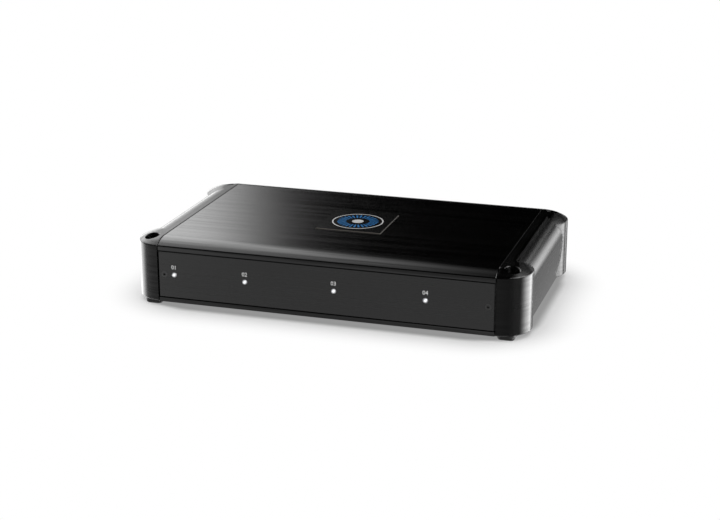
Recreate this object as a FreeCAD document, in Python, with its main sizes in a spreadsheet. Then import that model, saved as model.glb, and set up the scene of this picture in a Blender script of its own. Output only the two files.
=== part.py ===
import FreeCAD, Part
import math
import os
from types import SimpleNamespace

import Sketcher
from FreeCAD import Placement, Rotation, Vector

# A low, wide car amplifier: an extruded aluminium shell closed by two cast end
# caps, with an inset panel on each long side. Lengths are in millimetres. X runs
# along the shell, -Y is the side with the lamps, +Y the side with the sockets,
# and Z = 0 is the ground under the middle of the case.

SIZES = [
    # The shell and its end caps
    ("body_length", 299.6, "extruded shell, end to end"),
    ("seam_gap", 0.2, "gap between the shell and each end cap"),
    ("case_depth", 207, "front face to rear face"),
    ("case_height", 60, "ground to the flat top"),
    ("foot_height", 4.4, "ground to the underside of the case"),
    ("shoulder_radius", 28, "long rounded edge of the top"),
    ("shoulder_reach", 16, "width of the rounded edge in plan"),
    ("edge_roll", 1.5, "small radius where the rounded edge meets the wall"),
    ("wall_thickness", 3, "long walls of the shell behind the panels"),
    ("skin_thickness", 5, "top of the shell"),
    ("lower_lip", 3.7, "lip under each panel"),
    ("upper_lip", 3.28, "wall between each panel and the rounded edge"),
    ("panel_gap", 0.8, "shadow gap round each panel"),
    ("corner_ease", 8, "slope under the top, inside each wall"),
    ("cap_edge_break", 0.4, "chamfer round the shell and the end cap at the seam"),
    ("lobe_radius", 26, "corner posts of the end caps"),
    ("waist_inset", 2, "side of the end cap behind its posts"),
    ("waist_radius", 18, "top edge of the end cap between its posts"),
    ("waist_lean", 3.1, "barrelled side of the end cap, widest to lowest"),
    ("cap_foot_break", 1, "chamfer round the underside of the end cap"),
    ("spigot_length", 8, "part of the end cap inside the shell"),
    ("spigot_gap", 0.3, "fit of the end cap inside the shell"),
    ("cap_wall", 7, "walls of the end cap round its hollow"),
    ("cap_hollow_width", 116, "hollow in the end cap, front to rear"),
    ("cap_hollow_radius", 6, "upright corners of the hollow"),
    # Fixing holes and feet
    ("mount_side_inset", 15.5, "fixing hole to the end of the case"),
    ("mount_front_inset", 14.5, "fixing hole to the long face of the case"),
    ("mount_hole_radius", 2.75, "fixing hole"),
    ("mount_bore_radius", 6.2, "counterbore for the screw head"),
    ("mount_rim_break", 0.5, "bright chamfer round the counterbore"),
    ("mount_floor", 6, "metal under the screw head"),
    ("foot_width", 15, "rubber foot, square"),
    ("foot_corner_radius", 4, "upright corners of the foot"),
    ("foot_offset", 2.5, "fixing hole to the middle of the foot, both ways"),
    ("foot_plug_radius", 4.6, "plug of the foot inside the cap"),
    ("foot_plug_height", 1.5, "plug of the foot inside the cap"),
    ("foot_plug_gap", 0.2, "clearance round the plug"),
    ("foot_bore_radius", 3.4, "screw way through the foot"),
    ("foot_edge_break", 0.8, "chamfer round the foot"),
    # Bottom plate and its screws
    ("plate_thickness", 1.6, "steel bottom plate"),
    ("plate_gap", 0.3, "clearance round the bottom plate"),
    ("lip_wall", 2.8, "wall outside the bottom plate"),
    ("flange_thickness", 3.5, "flange the bottom plate is screwed to"),
    ("flange_width", 10, "flange the bottom plate is screwed to"),
    ("plate_screw_pitch", 125, "bottom plate screws along the shell"),
    ("cap_screw_pitch", 130, "end cap screws, front to rear"),
    ("screw_head_radius", 2.9, "countersunk M3 head"),
    ("screw_shank_radius", 1.4, "M3 shank in its thread"),
    ("screw_way_radius", 1.7, "clearance hole for M3"),
    ("screw_length", 5, "bottom screws, head and shank"),
    ("thread_gap", 0.05, "clearance round a shank"),
    # Front panel, lamps and their board
    ("panel_thickness", 2.4, "front panel"),
    ("panel_break", 0.3, "chamfer round the panels"),
    ("panel_screw_inset", 5.8, "panel screw to the end of the shell"),
    ("power_lamp_inset", 15, "power lamp to its end of the shell"),
    ("clip_lamp_inset", 59.2, "last clip lamp to its end of the shell"),
    ("clip_lamp_pitch", 80, "spacing of the clip lamps"),
    ("lamp_radius", 2.5, "lamp body"),
    ("lamp_flange", 2.9, "rim at the foot of the lamp"),
    ("lamp_flange_height", 1, "rim at the foot of the lamp"),
    ("lamp_proud", 1.6, "dome of the lamp in front of the panel"),
    ("lamp_gap", 0.15, "clearance round the lamp in the panel"),
    ("lamp_way_radius", 3.6, "hole for the lamp in the shell"),
    ("lamp_length", 8.6, "rim to the top of the dome"),
    ("lamp_board_height", 15, "lamp board"),
    ("lamp_board_margin", 8, "lamp board past the outer lamps"),
    ("spacer_radius", 3, "spacers of the lamp board"),
    ("board_thickness", 1.6, "circuit boards"),
    # Badge plate on the top
    ("badge_width", 60, "square plate on the top"),
    ("badge_thickness", 1.4, "plate"),
    ("badge_sink", 0.6, "depth of its seat"),
    ("badge_gap", 0.2, "clearance round the plate"),
    ("badge_break", 0.6, "polished bevel round the plate"),
    # Main board
    ("ledge_top", 16, "ground to the board"),
    ("ledge_thickness", 2, "ledge under the board"),
    ("ledge_reach", 5, "ledge under the board"),
    ("board_end_gap", 4, "main board to the spigot of each end cap"),
    ("board_gap", 0.5, "board to the walls of the shell"),
    ("board_screw_pitch", 120, "board screws along the front ledge"),
    ("board_screw_inset", 2.2, "board screw to the tip of its ledge"),
    ("pan_head_radius", 2.4, "pan head"),
    ("pan_head_height", 1.6, "pan head"),
    ("pan_shank_radius", 1.15, "shank of the board screws"),
    # Rear panel
    ("rear_recess", 7.4, "rear panel behind the rear face"),
    ("rear_panel_thickness", 2, "rear panel"),
    ("window_margin", 1.2, "opening in the shell round a socket group"),
    ("block_gap", 0.3, "clearance round what stands in the rear panel"),
    ("rear_screw_inset", 4.85, "rear panel screws to its upper and lower edge"),
    # Line sockets
    ("jack_gap", 1.1, "block of the line sockets to the screw heads beside it"),
    ("jack_pitch", 14, "line sockets along the panel"),
    ("jack_low", 5.6, "lower row above the board"),
    ("jack_rise", 13.5, "upper row above the lower row"),
    ("jack_radius", 4.15, "metal shell"),
    ("jack_bore_radius", 3.3, "inside of the metal shell"),
    ("jack_collar_radius", 4.7, "base of the metal shell"),
    ("jack_proud", 9, "metal shell in front of the rear panel"),
    ("jack_collar_proud", 0.5, "base in front of the rear panel"),
    ("jack_seat", 6, "base inside the moulded block"),
    ("jack_sink", 6, "insulator behind the end of the shell"),
    ("jack_pin_radius", 1.6, "hole for the plug's pin"),
    ("jack_margin", 5.4, "moulded block past the outer sockets"),
    # Rotary controls
    ("control_gap", 8.2, "first rotary control to the block of the line sockets"),
    ("control_pitch", 24.5, "control groups along the panel"),
    ("control_split", 11, "level control to filter control"),
    ("control_low", 6.4, "rotary controls above the board"),
    ("control_depth", 14.1, "rear wall of the shell to the input board"),
    ("pot_width", 9.6, "body of a rotary control"),
    ("shaft_radius", 3, "shaft of a rotary control"),
    ("shaft_gap", 0.35, "clearance round a shaft"),
    ("shaft_proud", 5, "shaft in front of the rear panel"),
    ("shaft_seat", 5, "shaft inside its body"),
    ("shaft_way", 0.6, "hole in the panel round a shaft"),
    ("shaft_slot_width", 1, "screwdriver slot"),
    ("shaft_slot_depth", 1.4, "screwdriver slot"),
    ("shaft_edge_break", 0.4, "chamfer at the end of a shaft"),
    # Slide switches
    ("switch_rise", 13.5, "slide switches above the rotary controls"),
    ("switch_width", 13, "body of a slide switch"),
    ("switch_height", 7, "body of a slide switch"),
    ("slider_width", 3.6, "slider along its travel"),
    ("slider_height", 3, "slider across its travel"),
    ("slider_travel", 2, "each way from the middle"),
    ("slider_proud", 2.6, "slider in front of the rear panel"),
    ("slider_seat", 4, "slider inside its body"),
    ("slider_gap", 0.35, "clearance round a slider"),
    # Boards behind the controls
    ("input_board_drop", 8, "input board under the top of the shell"),
    ("input_board_margin", 1, "input board past what it carries"),
    # Loudspeaker terminals
    ("speaker_gap", 3.4, "loudspeaker terminals to the fuse socket"),
    ("speaker_pitch", 6, "loudspeaker terminals"),
    ("speaker_height", 18, "terminal block"),
    ("speaker_bay_width", 4.8, "bay of one terminal"),
    ("speaker_screw_radius", 1.9, "terminal screw head"),
    # Power terminals
    ("power_gap", 0.5, "power terminals to the screw heads beside them"),
    ("power_pitch", 11, "power terminals"),
    ("power_height", 23, "terminal block"),
    ("power_bay_width", 9.6, "bay of one terminal"),
    ("power_screw_radius", 3.4, "terminal screw head"),
    # Both terminal blocks
    ("block_proud", 5.6, "terminal blocks in front of the rear panel"),
    ("block_length", 20, "terminal blocks, front to rear"),
    ("block_end_wall", 0.9, "wall past the outer bays"),
    ("block_floor", 3, "block under its bays"),
    ("bay_depth", 5, "bays of the terminal blocks"),
    ("clamp_thickness", 1.2, "wire clamp in a bay"),
    ("clamp_gap", 0.3, "clearance round a wire clamp"),
    ("terminal_head_height", 2, "terminal screw head"),
    # Fuses
    ("fuse_gap_x", 5.9, "fuse socket to the power terminals"),
    ("fuse_width", 19, "blade fuse"),
    ("fuse_thickness", 5, "blade fuse"),
    ("fuse_proud", 4.6, "fuse in front of the rear panel"),
    ("fuse_body", 9, "moulded part of the fuse"),
    ("fuse_low", 7.4, "lower fuse above the board"),
    ("fuse_rise", 11, "upper fuse above the lower fuse"),
    ("fuse_gap", 0.3, "clearance round a fuse"),
    ("blade_width", 5.2, "fuse blade"),
    ("blade_thickness", 0.7, "fuse blade"),
    ("blade_length", 6, "fuse blade"),
    ("blade_inset", 1.2, "blade to the end of the fuse"),
    ("fuse_block_margin", 2.2, "socket round the fuses"),
    ("fuse_block_length", 18, "fuse socket, front to rear"),
    # Parts on the main board
    ("transformer_gap", 6, "transformer to the first reservoir capacitor"),
    ("transformer_y", 10, "middle of the transformer"),
    ("transformer_radius", 24, "wound ring"),
    ("transformer_hole", 8, "hole in the wound ring"),
    ("transformer_height", 20, "wound ring"),
    ("transformer_break", 4, "sloped edges of the wound ring"),
    ("reservoir_inset", 19, "last reservoir capacitor to the end of the main board"),
    ("reservoir_y", -18, "first reservoir capacitor"),
    ("reservoir_pitch", 19, "reservoir capacitors"),
    ("reservoir_radius", 8, "reservoir capacitor"),
    ("reservoir_height", 26, "reservoir capacitor"),
    ("choke_inset", 18, "first output choke to the end of the main board"),
    ("choke_y", -12, "middle of the output chokes"),
    ("choke_pitch", 26, "output chokes"),
    ("choke_radius", 10, "output choke"),
    ("choke_hole", 3.5, "hole in an output choke"),
    ("choke_height", 12, "output choke"),
    ("choke_break", 2.5, "sloped edges of a choke"),
    ("spreader_length", 240, "heat spreader under the top"),
    ("spreader_thickness", 7, "heat spreader under the top"),
    ("spreader_drop", 30, "heat spreader under the top"),
    ("spreader_y", -56, "front face of the heat spreader"),
    ("transistor_inset", 10, "first power transistor to the end of the spreader"),
    ("transistor_pitch", 24.4, "power transistors"),
    ("transistor_width", 10.2, "power transistor"),
    ("transistor_height", 16, "power transistor"),
    ("transistor_thickness", 4.6, "power transistor"),
    ("transistor_lead", 10, "board to the body of a transistor"),
    ("clamp_bar_height", 6, "spring bar over the transistors"),
    ("clamp_bar_thickness", 1.2, "spring bar over the transistors"),
    ("lamp_cable_width", 12, "flat cable from the lamp board"),
    ("lamp_cable_thickness", 0.8, "flat cable from the lamp board"),
    ("lamp_cable_offset", 20, "flat cable to the second clip lamp"),
    ("lamp_cable_reach", 8, "flat cable behind the lamp board"),
]


class Length:
    """A size with the spreadsheet expression that gives it."""

    def __init__(self, value, text):
        self.value = value
        self.text = text

    def __add__(self, other):
        return Length(self.value + number(other), f"({self.text} + {formula(other)})")

    def __sub__(self, other):
        return Length(self.value - number(other), f"({self.text} - {formula(other)})")

    def __mul__(self, other):
        return Length(self.value * number(other), f"({self.text} * {formula(other)})")

    def __truediv__(self, other):
        return Length(self.value / number(other), f"({self.text} / {formula(other)})")

    def __neg__(self):
        return Length(-self.value, f"(0 - {self.text})")


def number(size):
    return size.value if isinstance(size, Length) else size


def formula(size):
    return size.text if isinstance(size, Length) else repr(size)


def root(size):
    return Length(math.sqrt(size.value), f"sqrt({size.text})")


doc = FreeCAD.newDocument("car_amplifier")
sheet = doc.addObject("Spreadsheet::Sheet", "Sizes")
for row, (name, value, note) in enumerate(SIZES, start=1):
    sheet.set(f"A{row}", name)
    sheet.set(f"B{row}", str(value))
    sheet.set(f"C{row}", note)
    sheet.setAlias(f"B{row}", name)
doc.recompute()
s = SimpleNamespace(**{name: Length(value, f"Sizes.{name}") for name, value, note in SIZES})

nodes = []


# ---------------------------------------------------------------- modelling helpers

def bind(item, prop, size):
    """Give a property its size, tied to the spreadsheet when it has one."""
    if isinstance(size, Length):
        item.setExpression(prop, size.text)
    else:
        setattr(item, prop, size)


def new_body(label, x=0, y=0, z=0, turn=None):
    """A named sub-part. turn is a rotation in degrees about X for parts that face the side."""
    body = doc.addObject("PartDesign::Body", label)
    body.Label = label
    body.AllowCompound = True
    rotation = Rotation(Vector(1, 0, 0), turn) if turn else Rotation()
    body.Placement = Placement(Vector(number(x), number(y), number(z)), rotation)
    for axis, size in (("x", x), ("y", y), ("z", z)):
        if isinstance(size, Length):
            body.setExpression(f"Placement.Base.{axis}", size.text)
    nodes.append(body)
    return body


def origin_item(body, role):
    return next(item for item in body.Origin.OriginFeatures if item.Role == role)


def new_sketch(body, plane, at=0):
    """A sketch on the body's XY, XZ or YZ plane, moved to a place on the third axis."""
    sketch = body.newObject("Sketcher::SketchObject", f"{body.Name}_{plane}")
    sketch.AttachmentSupport = (origin_item(body, f"{plane}_Plane"), [""])
    sketch.MapMode = "FlatFace"
    offset = -at if plane == "XZ" else at
    sketch.AttachmentOffset = Placement(Vector(0, 0, number(offset)), Rotation())
    if isinstance(offset, Length):
        sketch.setExpression("AttachmentOffset.Base.z", offset.text)
    return sketch


def tie(sketch, constraint, size):
    """Add one dimension to a sketch and tie it to the spreadsheet."""
    index = sketch.addConstraint(constraint)
    if isinstance(size, Length):
        sketch.setExpression(f"Constraints[{index}]", size.text)


def draw(sketch, corners, arcs=None):
    """Closed outline through corners; arcs[i] is the centre of the round run after corner i."""
    arcs = arcs or {}
    flat = [Vector(number(u), number(v), 0) for u, v in corners]
    ends = []
    for i, start in enumerate(flat):
        stop = flat[(i + 1) % len(flat)]
        if i not in arcs:
            ends.append((sketch.addGeometry(Part.LineSegment(start, stop), False), 1, 2))
            continue
        centre = Vector(number(arcs[i][0]), number(arcs[i][1]), 0)
        radius = (start - centre).Length
        first = math.atan2(start.y - centre.y, start.x - centre.x)
        last = math.atan2(stop.y - centre.y, stop.x - centre.x)
        sweep = (last - first) % (2 * math.pi)
        circle = Part.Circle(centre, Vector(0, 0, 1), radius)
        if sweep <= math.pi:
            arc = Part.ArcOfCircle(circle, first, first + sweep)
            ends.append((sketch.addGeometry(arc, False), 1, 2))
        else:
            arc = Part.ArcOfCircle(circle, last, last + 2 * math.pi - sweep)
            ends.append((sketch.addGeometry(arc, False), 2, 1))
    for (line, _, stop), (after, start, _) in zip(ends, ends[1:] + ends[:1]):
        sketch.addConstraint(Sketcher.Constraint("Coincident", line, stop, after, start))
    for (u, v), (line, start, _) in zip(corners, ends):
        tie(sketch, Sketcher.Constraint("DistanceX", line, start, number(u)), u)
        tie(sketch, Sketcher.Constraint("DistanceY", line, start, number(v)), v)
    for i, centre in arcs.items():
        radius = centre[2]
        tie(sketch, Sketcher.Constraint("Radius", ends[i][0], number(radius)), radius)
    return sketch


def rectangle(sketch, left, low, right, high):
    return draw(sketch, [(left, low), (right, low), (right, high), (left, high)])


def circle(sketch, u, v, radius):
    centre = Vector(number(u), number(v), 0)
    ring = sketch.addGeometry(Part.Circle(centre, Vector(0, 0, 1), number(radius)), False)
    tie(sketch, Sketcher.Constraint("DistanceX", ring, 3, number(u)), u)
    tie(sketch, Sketcher.Constraint("DistanceY", ring, 3, number(v)), v)
    tie(sketch, Sketcher.Constraint("Radius", ring, number(radius)), radius)
    return sketch


def finish_feature(body, feature):
    """Recompute, and stop if the feature failed."""
    body.Tip = feature
    doc.recompute()
    if "Invalid" in feature.State or "Error" in feature.State:
        raise RuntimeError(f"{feature.Label} in {body.Label} failed: {feature.State}")
    return feature


def pad(body, sketch, length, to="+", both_ways=False):
    """Solid from a sketch, towards + or - on the axis across it, or both ways."""
    feature = body.newObject("PartDesign::Pad", f"{body.Name}_pad")
    feature.Profile = sketch
    feature.SideType = "Symmetric" if both_ways else "One side"
    feature.Reversed = ("_XZ" in sketch.Name) == (to == "+")
    bind(feature, "Length", length)
    return finish_feature(body, feature)


def pocket(body, sketch, depth=None, to="-", both_ways=False):
    """Cut towards + or - on the axis across the sketch, right through when no depth is given."""
    before = body.Tip.Shape.Volume
    feature = body.newObject("PartDesign::Pocket", f"{body.Name}_pocket")
    feature.Profile = sketch
    feature.SideType = "Symmetric" if both_ways else "One side"
    feature.Reversed = ("_XZ" in sketch.Name) == (to == "-")
    if depth is None:
        feature.Type = "ThroughAll"
    else:
        bind(feature, "Length", depth)
    finish_feature(body, feature)
    if feature.Shape.Volume > before - 0.001:
        raise RuntimeError(f"{feature.Name} cuts nothing")
    return feature


def revolve(body, sketch, angle=360, both_ways=False, axis="V_Axis"):
    feature = body.newObject("PartDesign::Revolution", f"{body.Name}_turn")
    feature.Profile = sketch
    feature.ReferenceAxis = (sketch, [axis])
    feature.Angle = angle
    feature.Midplane = both_ways
    return finish_feature(body, feature)


def mirror(body, features, plane):
    copy = body.newObject("PartDesign::Mirrored", f"{body.Name}_mirror")
    copy.Originals = features
    copy.MirrorPlane = (origin_item(body, f"{plane}_Plane"), [""])
    return finish_feature(body, copy)


def repeat(body, features, axis, spacing, count, axis2=None, spacing2=None, count2=1):
    """Copies of features in a row, or in a grid when a second axis is given."""
    copy = body.newObject("PartDesign::LinearPattern", f"{body.Name}_row")
    copy.Originals = features
    copy.Direction = (origin_item(body, f"{axis}_Axis"), [""])
    bind(copy, "Length", spacing * (count - 1))
    copy.Occurrences = count
    if axis2:
        copy.Direction2 = (origin_item(body, f"{axis2}_Axis"), [""])
        bind(copy, "Length2", spacing2 * (count2 - 1))
        copy.Occurrences2 = count2
    return finish_feature(body, copy)


def edges(body, test):
    """Names of the edges of the body's present shape that pass a test."""
    found = [f"Edge{i}" for i, edge in enumerate(body.Tip.Shape.Edges, start=1) if test(edge)]
    if not found:
        raise RuntimeError(f"no edge of {body.Label} fits")
    return found


def chamfer(body, names, width):
    base = body.Tip
    feature = body.newObject("PartDesign::Chamfer", f"{body.Name}_chamfer")
    feature.Base = (base, names)
    bind(feature, "Size", width)
    return finish_feature(body, feature)


def fillet(body, names, radius):
    base = body.Tip
    feature = body.newObject("PartDesign::Fillet", f"{body.Name}_fillet")
    feature.Base = (base, names)
    bind(feature, "Radius", radius)
    return finish_feature(body, feature)


def lies_at(edge, axis, value, slack=0.01):
    """True when the whole edge lies in the plane where one coordinate has this value."""
    box = edge.BoundBox
    low = getattr(box, f"{axis.upper()}Min")
    high = getattr(box, f"{axis.upper()}Max")
    return abs(low - number(value)) < slack and abs(high - number(value)) < slack


def is_ring(edge, radius):
    return isinstance(edge.Curve, Part.Circle) and abs(edge.Curve.Radius - number(radius)) < 1e-6


# ---------------------------------------------------------------- places shared by the parts

half = s.body_length / 2
seam = half + s.seam_gap
face = s.case_depth / 2
top = s.case_height
base = s.foot_height
floor = base + s.plate_thickness
opening_low = base + s.lower_lip
seat_front = -(face - s.panel_thickness)
inner_front = seat_front + s.wall_thickness
rear_face = face - s.rear_recess
seat_rear = rear_face - s.rear_panel_thickness
inner_rear = seat_rear - s.wall_thickness
inner_top = top - s.skin_thickness
flange_top = floor + s.flange_thickness
ledge_low = s.ledge_top - s.ledge_thickness
board_top = s.ledge_top + s.board_thickness
panel_half = half - s.panel_gap
panel_low = opening_low + s.panel_gap
panel_screw_x = half - s.panel_screw_inset
pilot_radius = s.screw_shank_radius + s.thread_gap
sink_width = s.screw_head_radius + s.thread_gap - s.screw_way_radius

# The rounded long edge: a large arc from the flat top, then a small roll into the wall.
arc_z = top - s.shoulder_radius
arc_in = s.shoulder_reach - s.edge_roll
arc_up = root((s.shoulder_radius - s.edge_roll) * (s.shoulder_radius - s.edge_roll) - arc_in * arc_in)
stretch = s.shoulder_radius / (s.shoulder_radius - s.edge_roll)
roll_z = arc_z + arc_up
touch_out = s.shoulder_reach - arc_in * stretch
touch_z = arc_z + arc_up * stretch
roll_y = face - s.edge_roll
opening_top = roll_z - s.upper_lip
panel_top = opening_top - s.panel_gap
middle = (opening_low + opening_top) / 2


# ---------------------------------------------------------------- chassis
# One extruded section: flat top with rounded long edges, a seat for a panel on each
# side, ledges for the board and flanges for the bottom plate.

chassis = new_body("chassis")
lip_inner = face - s.lip_wall
section = [
    (-face, base), (-face, opening_low), (seat_front, opening_low), (seat_front, opening_top),
    (-face, opening_top), (-face, roll_z), (-(face - touch_out), touch_z),
    (-(face - s.shoulder_reach), top), (face - s.shoulder_reach, top),
    (face - touch_out, touch_z), (face, roll_z), (face, opening_top),
    (seat_rear, opening_top), (seat_rear, opening_low), (face, opening_low), (face, base),
    (lip_inner, base), (lip_inner, floor),
    (inner_rear - s.flange_width, floor), (inner_rear - s.flange_width, flange_top),
    (inner_rear, flange_top), (inner_rear, ledge_low), (inner_rear - s.ledge_reach, ledge_low),
    (inner_rear - s.ledge_reach, s.ledge_top), (inner_rear, s.ledge_top),
    (inner_rear, inner_top - s.corner_ease), (inner_rear - s.corner_ease, inner_top),
    (inner_front + s.corner_ease, inner_top), (inner_front, inner_top - s.corner_ease),
    (inner_front, s.ledge_top), (inner_front + s.ledge_reach, s.ledge_top),
    (inner_front + s.ledge_reach, ledge_low), (inner_front, ledge_low),
    (inner_front, flange_top), (inner_front + s.flange_width, flange_top),
    (inner_front + s.flange_width, floor), (-lip_inner, floor), (-lip_inner, base),
]
rounds = {
    5: (-roll_y, roll_z, s.edge_roll),
    6: (-(face - s.shoulder_reach), arc_z, s.shoulder_radius),
    8: (face - s.shoulder_reach, arc_z, s.shoulder_radius),
    9: (roll_y, roll_z, s.edge_roll),
}
pad(chassis, draw(new_sketch(chassis, "YZ"), section, rounds), s.body_length, both_ways=True)
chamfer(chassis, edges(chassis, lambda e: (lies_at(e, "x", half) or lies_at(e, "x", -half))
                       and (e.BoundBox.ZMax > inner_top.value + 1 or lies_at(e, "y", face)
                            or lies_at(e, "y", -face))), s.cap_edge_break)

# Seat of the badge plate
badge_seat = s.badge_width / 2 + s.badge_gap
sketch = new_sketch(chassis, "XY", top)
pocket(chassis, rectangle(sketch, -badge_seat, -badge_seat, badge_seat, badge_seat), s.badge_sink)

# Lamp and screw holes in the front wall
lamps = [s.power_lamp_inset - half]
lamps += [half - s.clip_lamp_inset - s.clip_lamp_pitch * i for i in (2, 1, 0)]
spacers = [(lamps[0] + lamps[1]) / 2, (lamps[2] + lamps[3]) / 2]
sketch = new_sketch(chassis, "XZ", seat_front)
for x in lamps:
    circle(sketch, x, middle, s.lamp_way_radius)
for x in (-panel_screw_x, panel_screw_x):
    circle(sketch, x, middle, pilot_radius)
for x in spacers:
    circle(sketch, x, middle, s.pan_shank_radius + s.thread_gap)
pocket(chassis, sketch, s.wall_thickness, to="+")

# What stands in the rear wall, from each end of the panel towards the middle
screws_clear = panel_screw_x - s.screw_head_radius
jack_half = s.jack_pitch + s.jack_margin
jack_x = -screws_clear + s.jack_gap + jack_half
jack_z = board_top + s.jack_low
jack_top = jack_z + s.jack_rise + s.jack_margin
control_left = jack_x + jack_half + s.control_gap
control_right = control_left + s.control_pitch * 2 + s.control_split + s.pot_width
control_z = board_top + s.control_low
switch_z = control_z + s.switch_rise
power_count = 3
power_half = s.power_pitch * power_count / 2 + s.block_end_wall
power_x = screws_clear - s.power_gap - power_half
fuse_half = s.fuse_width / 2 + s.fuse_block_margin
fuse_x = power_x - power_half - s.fuse_gap_x - fuse_half
fuse_z = board_top + s.fuse_low
fuse_top = fuse_z + s.fuse_rise + s.fuse_thickness / 2 + s.fuse_block_margin
speaker_count = 10
speaker_half = s.speaker_pitch * speaker_count / 2 + s.block_end_wall
speaker_x = fuse_x - fuse_half - s.speaker_gap - speaker_half

# Screw holes in the board ledges and the bottom flanges
board_screw_front = inner_front + s.ledge_reach - s.board_screw_inset
board_screw_rear = inner_rear - s.ledge_reach + s.board_screw_inset
board_screws = [(x, board_screw_front) for x in (-s.board_screw_pitch, 0, s.board_screw_pitch)]
board_screws += [
    ((jack_x + jack_half + control_left) / 2, board_screw_rear),
    ((control_right + speaker_x - speaker_half) / 2, board_screw_rear),
    ((fuse_x + fuse_half + power_x - power_half) / 2, board_screw_rear),
]
sketch = new_sketch(chassis, "XY", s.ledge_top)
for x, y in board_screws:
    circle(sketch, x, y, s.pan_shank_radius + s.thread_gap)
pocket(chassis, sketch, s.ledge_thickness)
plate_screw_front = inner_front + s.flange_width / 2
plate_screw_rear = inner_rear - s.flange_width / 2
sketch = new_sketch(chassis, "XY", flange_top)
for x in (-s.plate_screw_pitch, 0, s.plate_screw_pitch):
    for y in (plate_screw_front, plate_screw_rear):
        circle(sketch, x, y, pilot_radius)
pocket(chassis, sketch, s.flange_thickness)

# Openings in the rear wall for the sockets and controls, and its screw holes
sketch = new_sketch(chassis, "XZ", seat_rear)
for left, right, low, high in (
    (jack_x - jack_half, jack_x + jack_half, board_top, jack_top),
    (control_left, control_right, control_z - s.pot_width / 2, switch_z + s.switch_height / 2),
    (speaker_x - speaker_half, speaker_x + speaker_half, board_top, board_top + s.speaker_height),
    (fuse_x - fuse_half, fuse_x + fuse_half, board_top, fuse_top),
    (power_x - power_half, power_x + power_half, board_top, board_top + s.power_height),
):
    margin = s.window_margin
    rectangle(sketch, left - margin, low - margin, right + margin, high + margin)
for x in (-panel_screw_x, panel_screw_x):
    for z in (panel_low + s.rear_screw_inset, panel_top - s.rear_screw_inset):
        circle(sketch, x, z, pilot_radius)
pocket(chassis, sketch, s.wall_thickness)

# Screw holes for the heat spreader, from inside into the top
spreader_foot = s.spreader_y + s.spreader_thickness * 2
spreader_screw_x = s.spreader_length / 2 - s.spreader_thickness
sketch = new_sketch(chassis, "XY", inner_top)
for x in (-spreader_screw_x, spreader_screw_x):
    circle(sketch, x, spreader_foot, s.pan_shank_radius + s.thread_gap)
pocket(chassis, sketch, s.skin_thickness / 2, to="+")


# ---------------------------------------------------------------- end caps
# A cast cap: a domed post at each corner, turned from the section of the shell's own
# edge, and a lower waist between them with a slightly barrelled side.

end_cap = new_body("end_cap_right", x=seam)
lobe_y = face - s.lobe_radius
lobe_profile = [
    (0, base), (s.lobe_radius, base), (s.lobe_radius, roll_z),
    (s.lobe_radius - touch_out, touch_z), (s.lobe_radius - s.shoulder_reach, top), (0, top),
]
lobe_rounds = {
    2: (s.lobe_radius - s.edge_roll, roll_z, s.edge_roll),
    3: (s.lobe_radius - s.shoulder_reach, arc_z, s.shoulder_radius),
}
waist_reach = s.lobe_radius - s.waist_inset
waist_flat = waist_reach - s.waist_radius
waist_z = top - s.waist_radius
rise = waist_z - base
barrel = (rise * rise + s.waist_lean * s.waist_lean) / (s.waist_lean * 2)
sketch = new_sketch(end_cap, "XZ", 0)
draw(
    sketch,
    [(0, base), (waist_reach - s.waist_lean, base), (waist_reach, waist_z), (waist_flat, top), (0, top)],
    {1: (waist_reach - barrel, waist_z, barrel), 2: (waist_flat, waist_z, s.waist_radius)},
)
pad(end_cap, sketch, lobe_y * 2, both_ways=True)
post_line = draw(new_sketch(end_cap, "XZ", -lobe_y), lobe_profile, lobe_rounds)
post = revolve(end_cap, post_line, 180, both_ways=True)
mirror(end_cap, [post], "XZ")

# Spigot inside the shell, then the hollow through it
spigot_half = inner_rear - s.flange_width - s.spigot_gap
spigot_top = inner_top - s.spigot_gap
sketch = new_sketch(end_cap, "YZ", 0)
pad(end_cap, rectangle(sketch, -spigot_half, floor, spigot_half, spigot_top), s.spigot_length, to="-")
sketch = new_sketch(end_cap, "YZ", -s.spigot_length)
hollow = s.cap_hollow_width / 2
rectangle(sketch, -hollow, base + s.cap_wall, hollow, top - s.cap_wall)
pocket(end_cap, sketch, s.spigot_length + waist_reach - s.cap_wall, to="+")
fillet(end_cap, edges(end_cap, lambda e: lies_at(e, "x", waist_reach - s.cap_wall)
                      and e.BoundBox.ZLength > 1), s.cap_hollow_radius)

# Fixing holes, counterbored from the top, with the seat of a foot underneath
bore_x = s.lobe_radius - s.mount_side_inset
bore_y = face - s.mount_front_inset
for radius, start, depth, to in (
    (s.mount_hole_radius, top, top - base, "-"),
    (s.mount_bore_radius, top, top - base - s.mount_floor, "-"),
    (s.foot_plug_radius + s.foot_plug_gap, base, s.foot_plug_height + s.foot_plug_gap, "+"),
):
    sketch = new_sketch(end_cap, "XY", start)
    circle(sketch, bore_x, -bore_y, radius)
    circle(sketch, bore_x, bore_y, radius)
    pocket(end_cap, sketch, depth, to)

# Screw holes from below, then the breaks along the seam, the underside and the bores
cap_screw_x = -s.spigot_length / 2
sketch = new_sketch(end_cap, "XY", floor)
for y in (-s.cap_screw_pitch / 2, s.cap_screw_pitch / 2):
    circle(sketch, cap_screw_x, y, pilot_radius)
pocket(end_cap, sketch, s.screw_length, to="+")


def is_rim(edge):
    """Upper edge of a counterbore, where it meets the domed top."""
    box = edge.BoundBox
    near = abs(abs(box.Center.y) - bore_y.value) < s.mount_bore_radius.value
    return near and box.ZMin > arc_z.value and box.XMax < bore_x.value + s.mount_bore_radius.value + 0.01


def is_outline_at_seam(edge):
    return lies_at(edge, "x", 0) and (edge.BoundBox.ZMax > spigot_top.value + 1
                                      or lies_at(edge, "y", face) or lies_at(edge, "y", -face))


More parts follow.
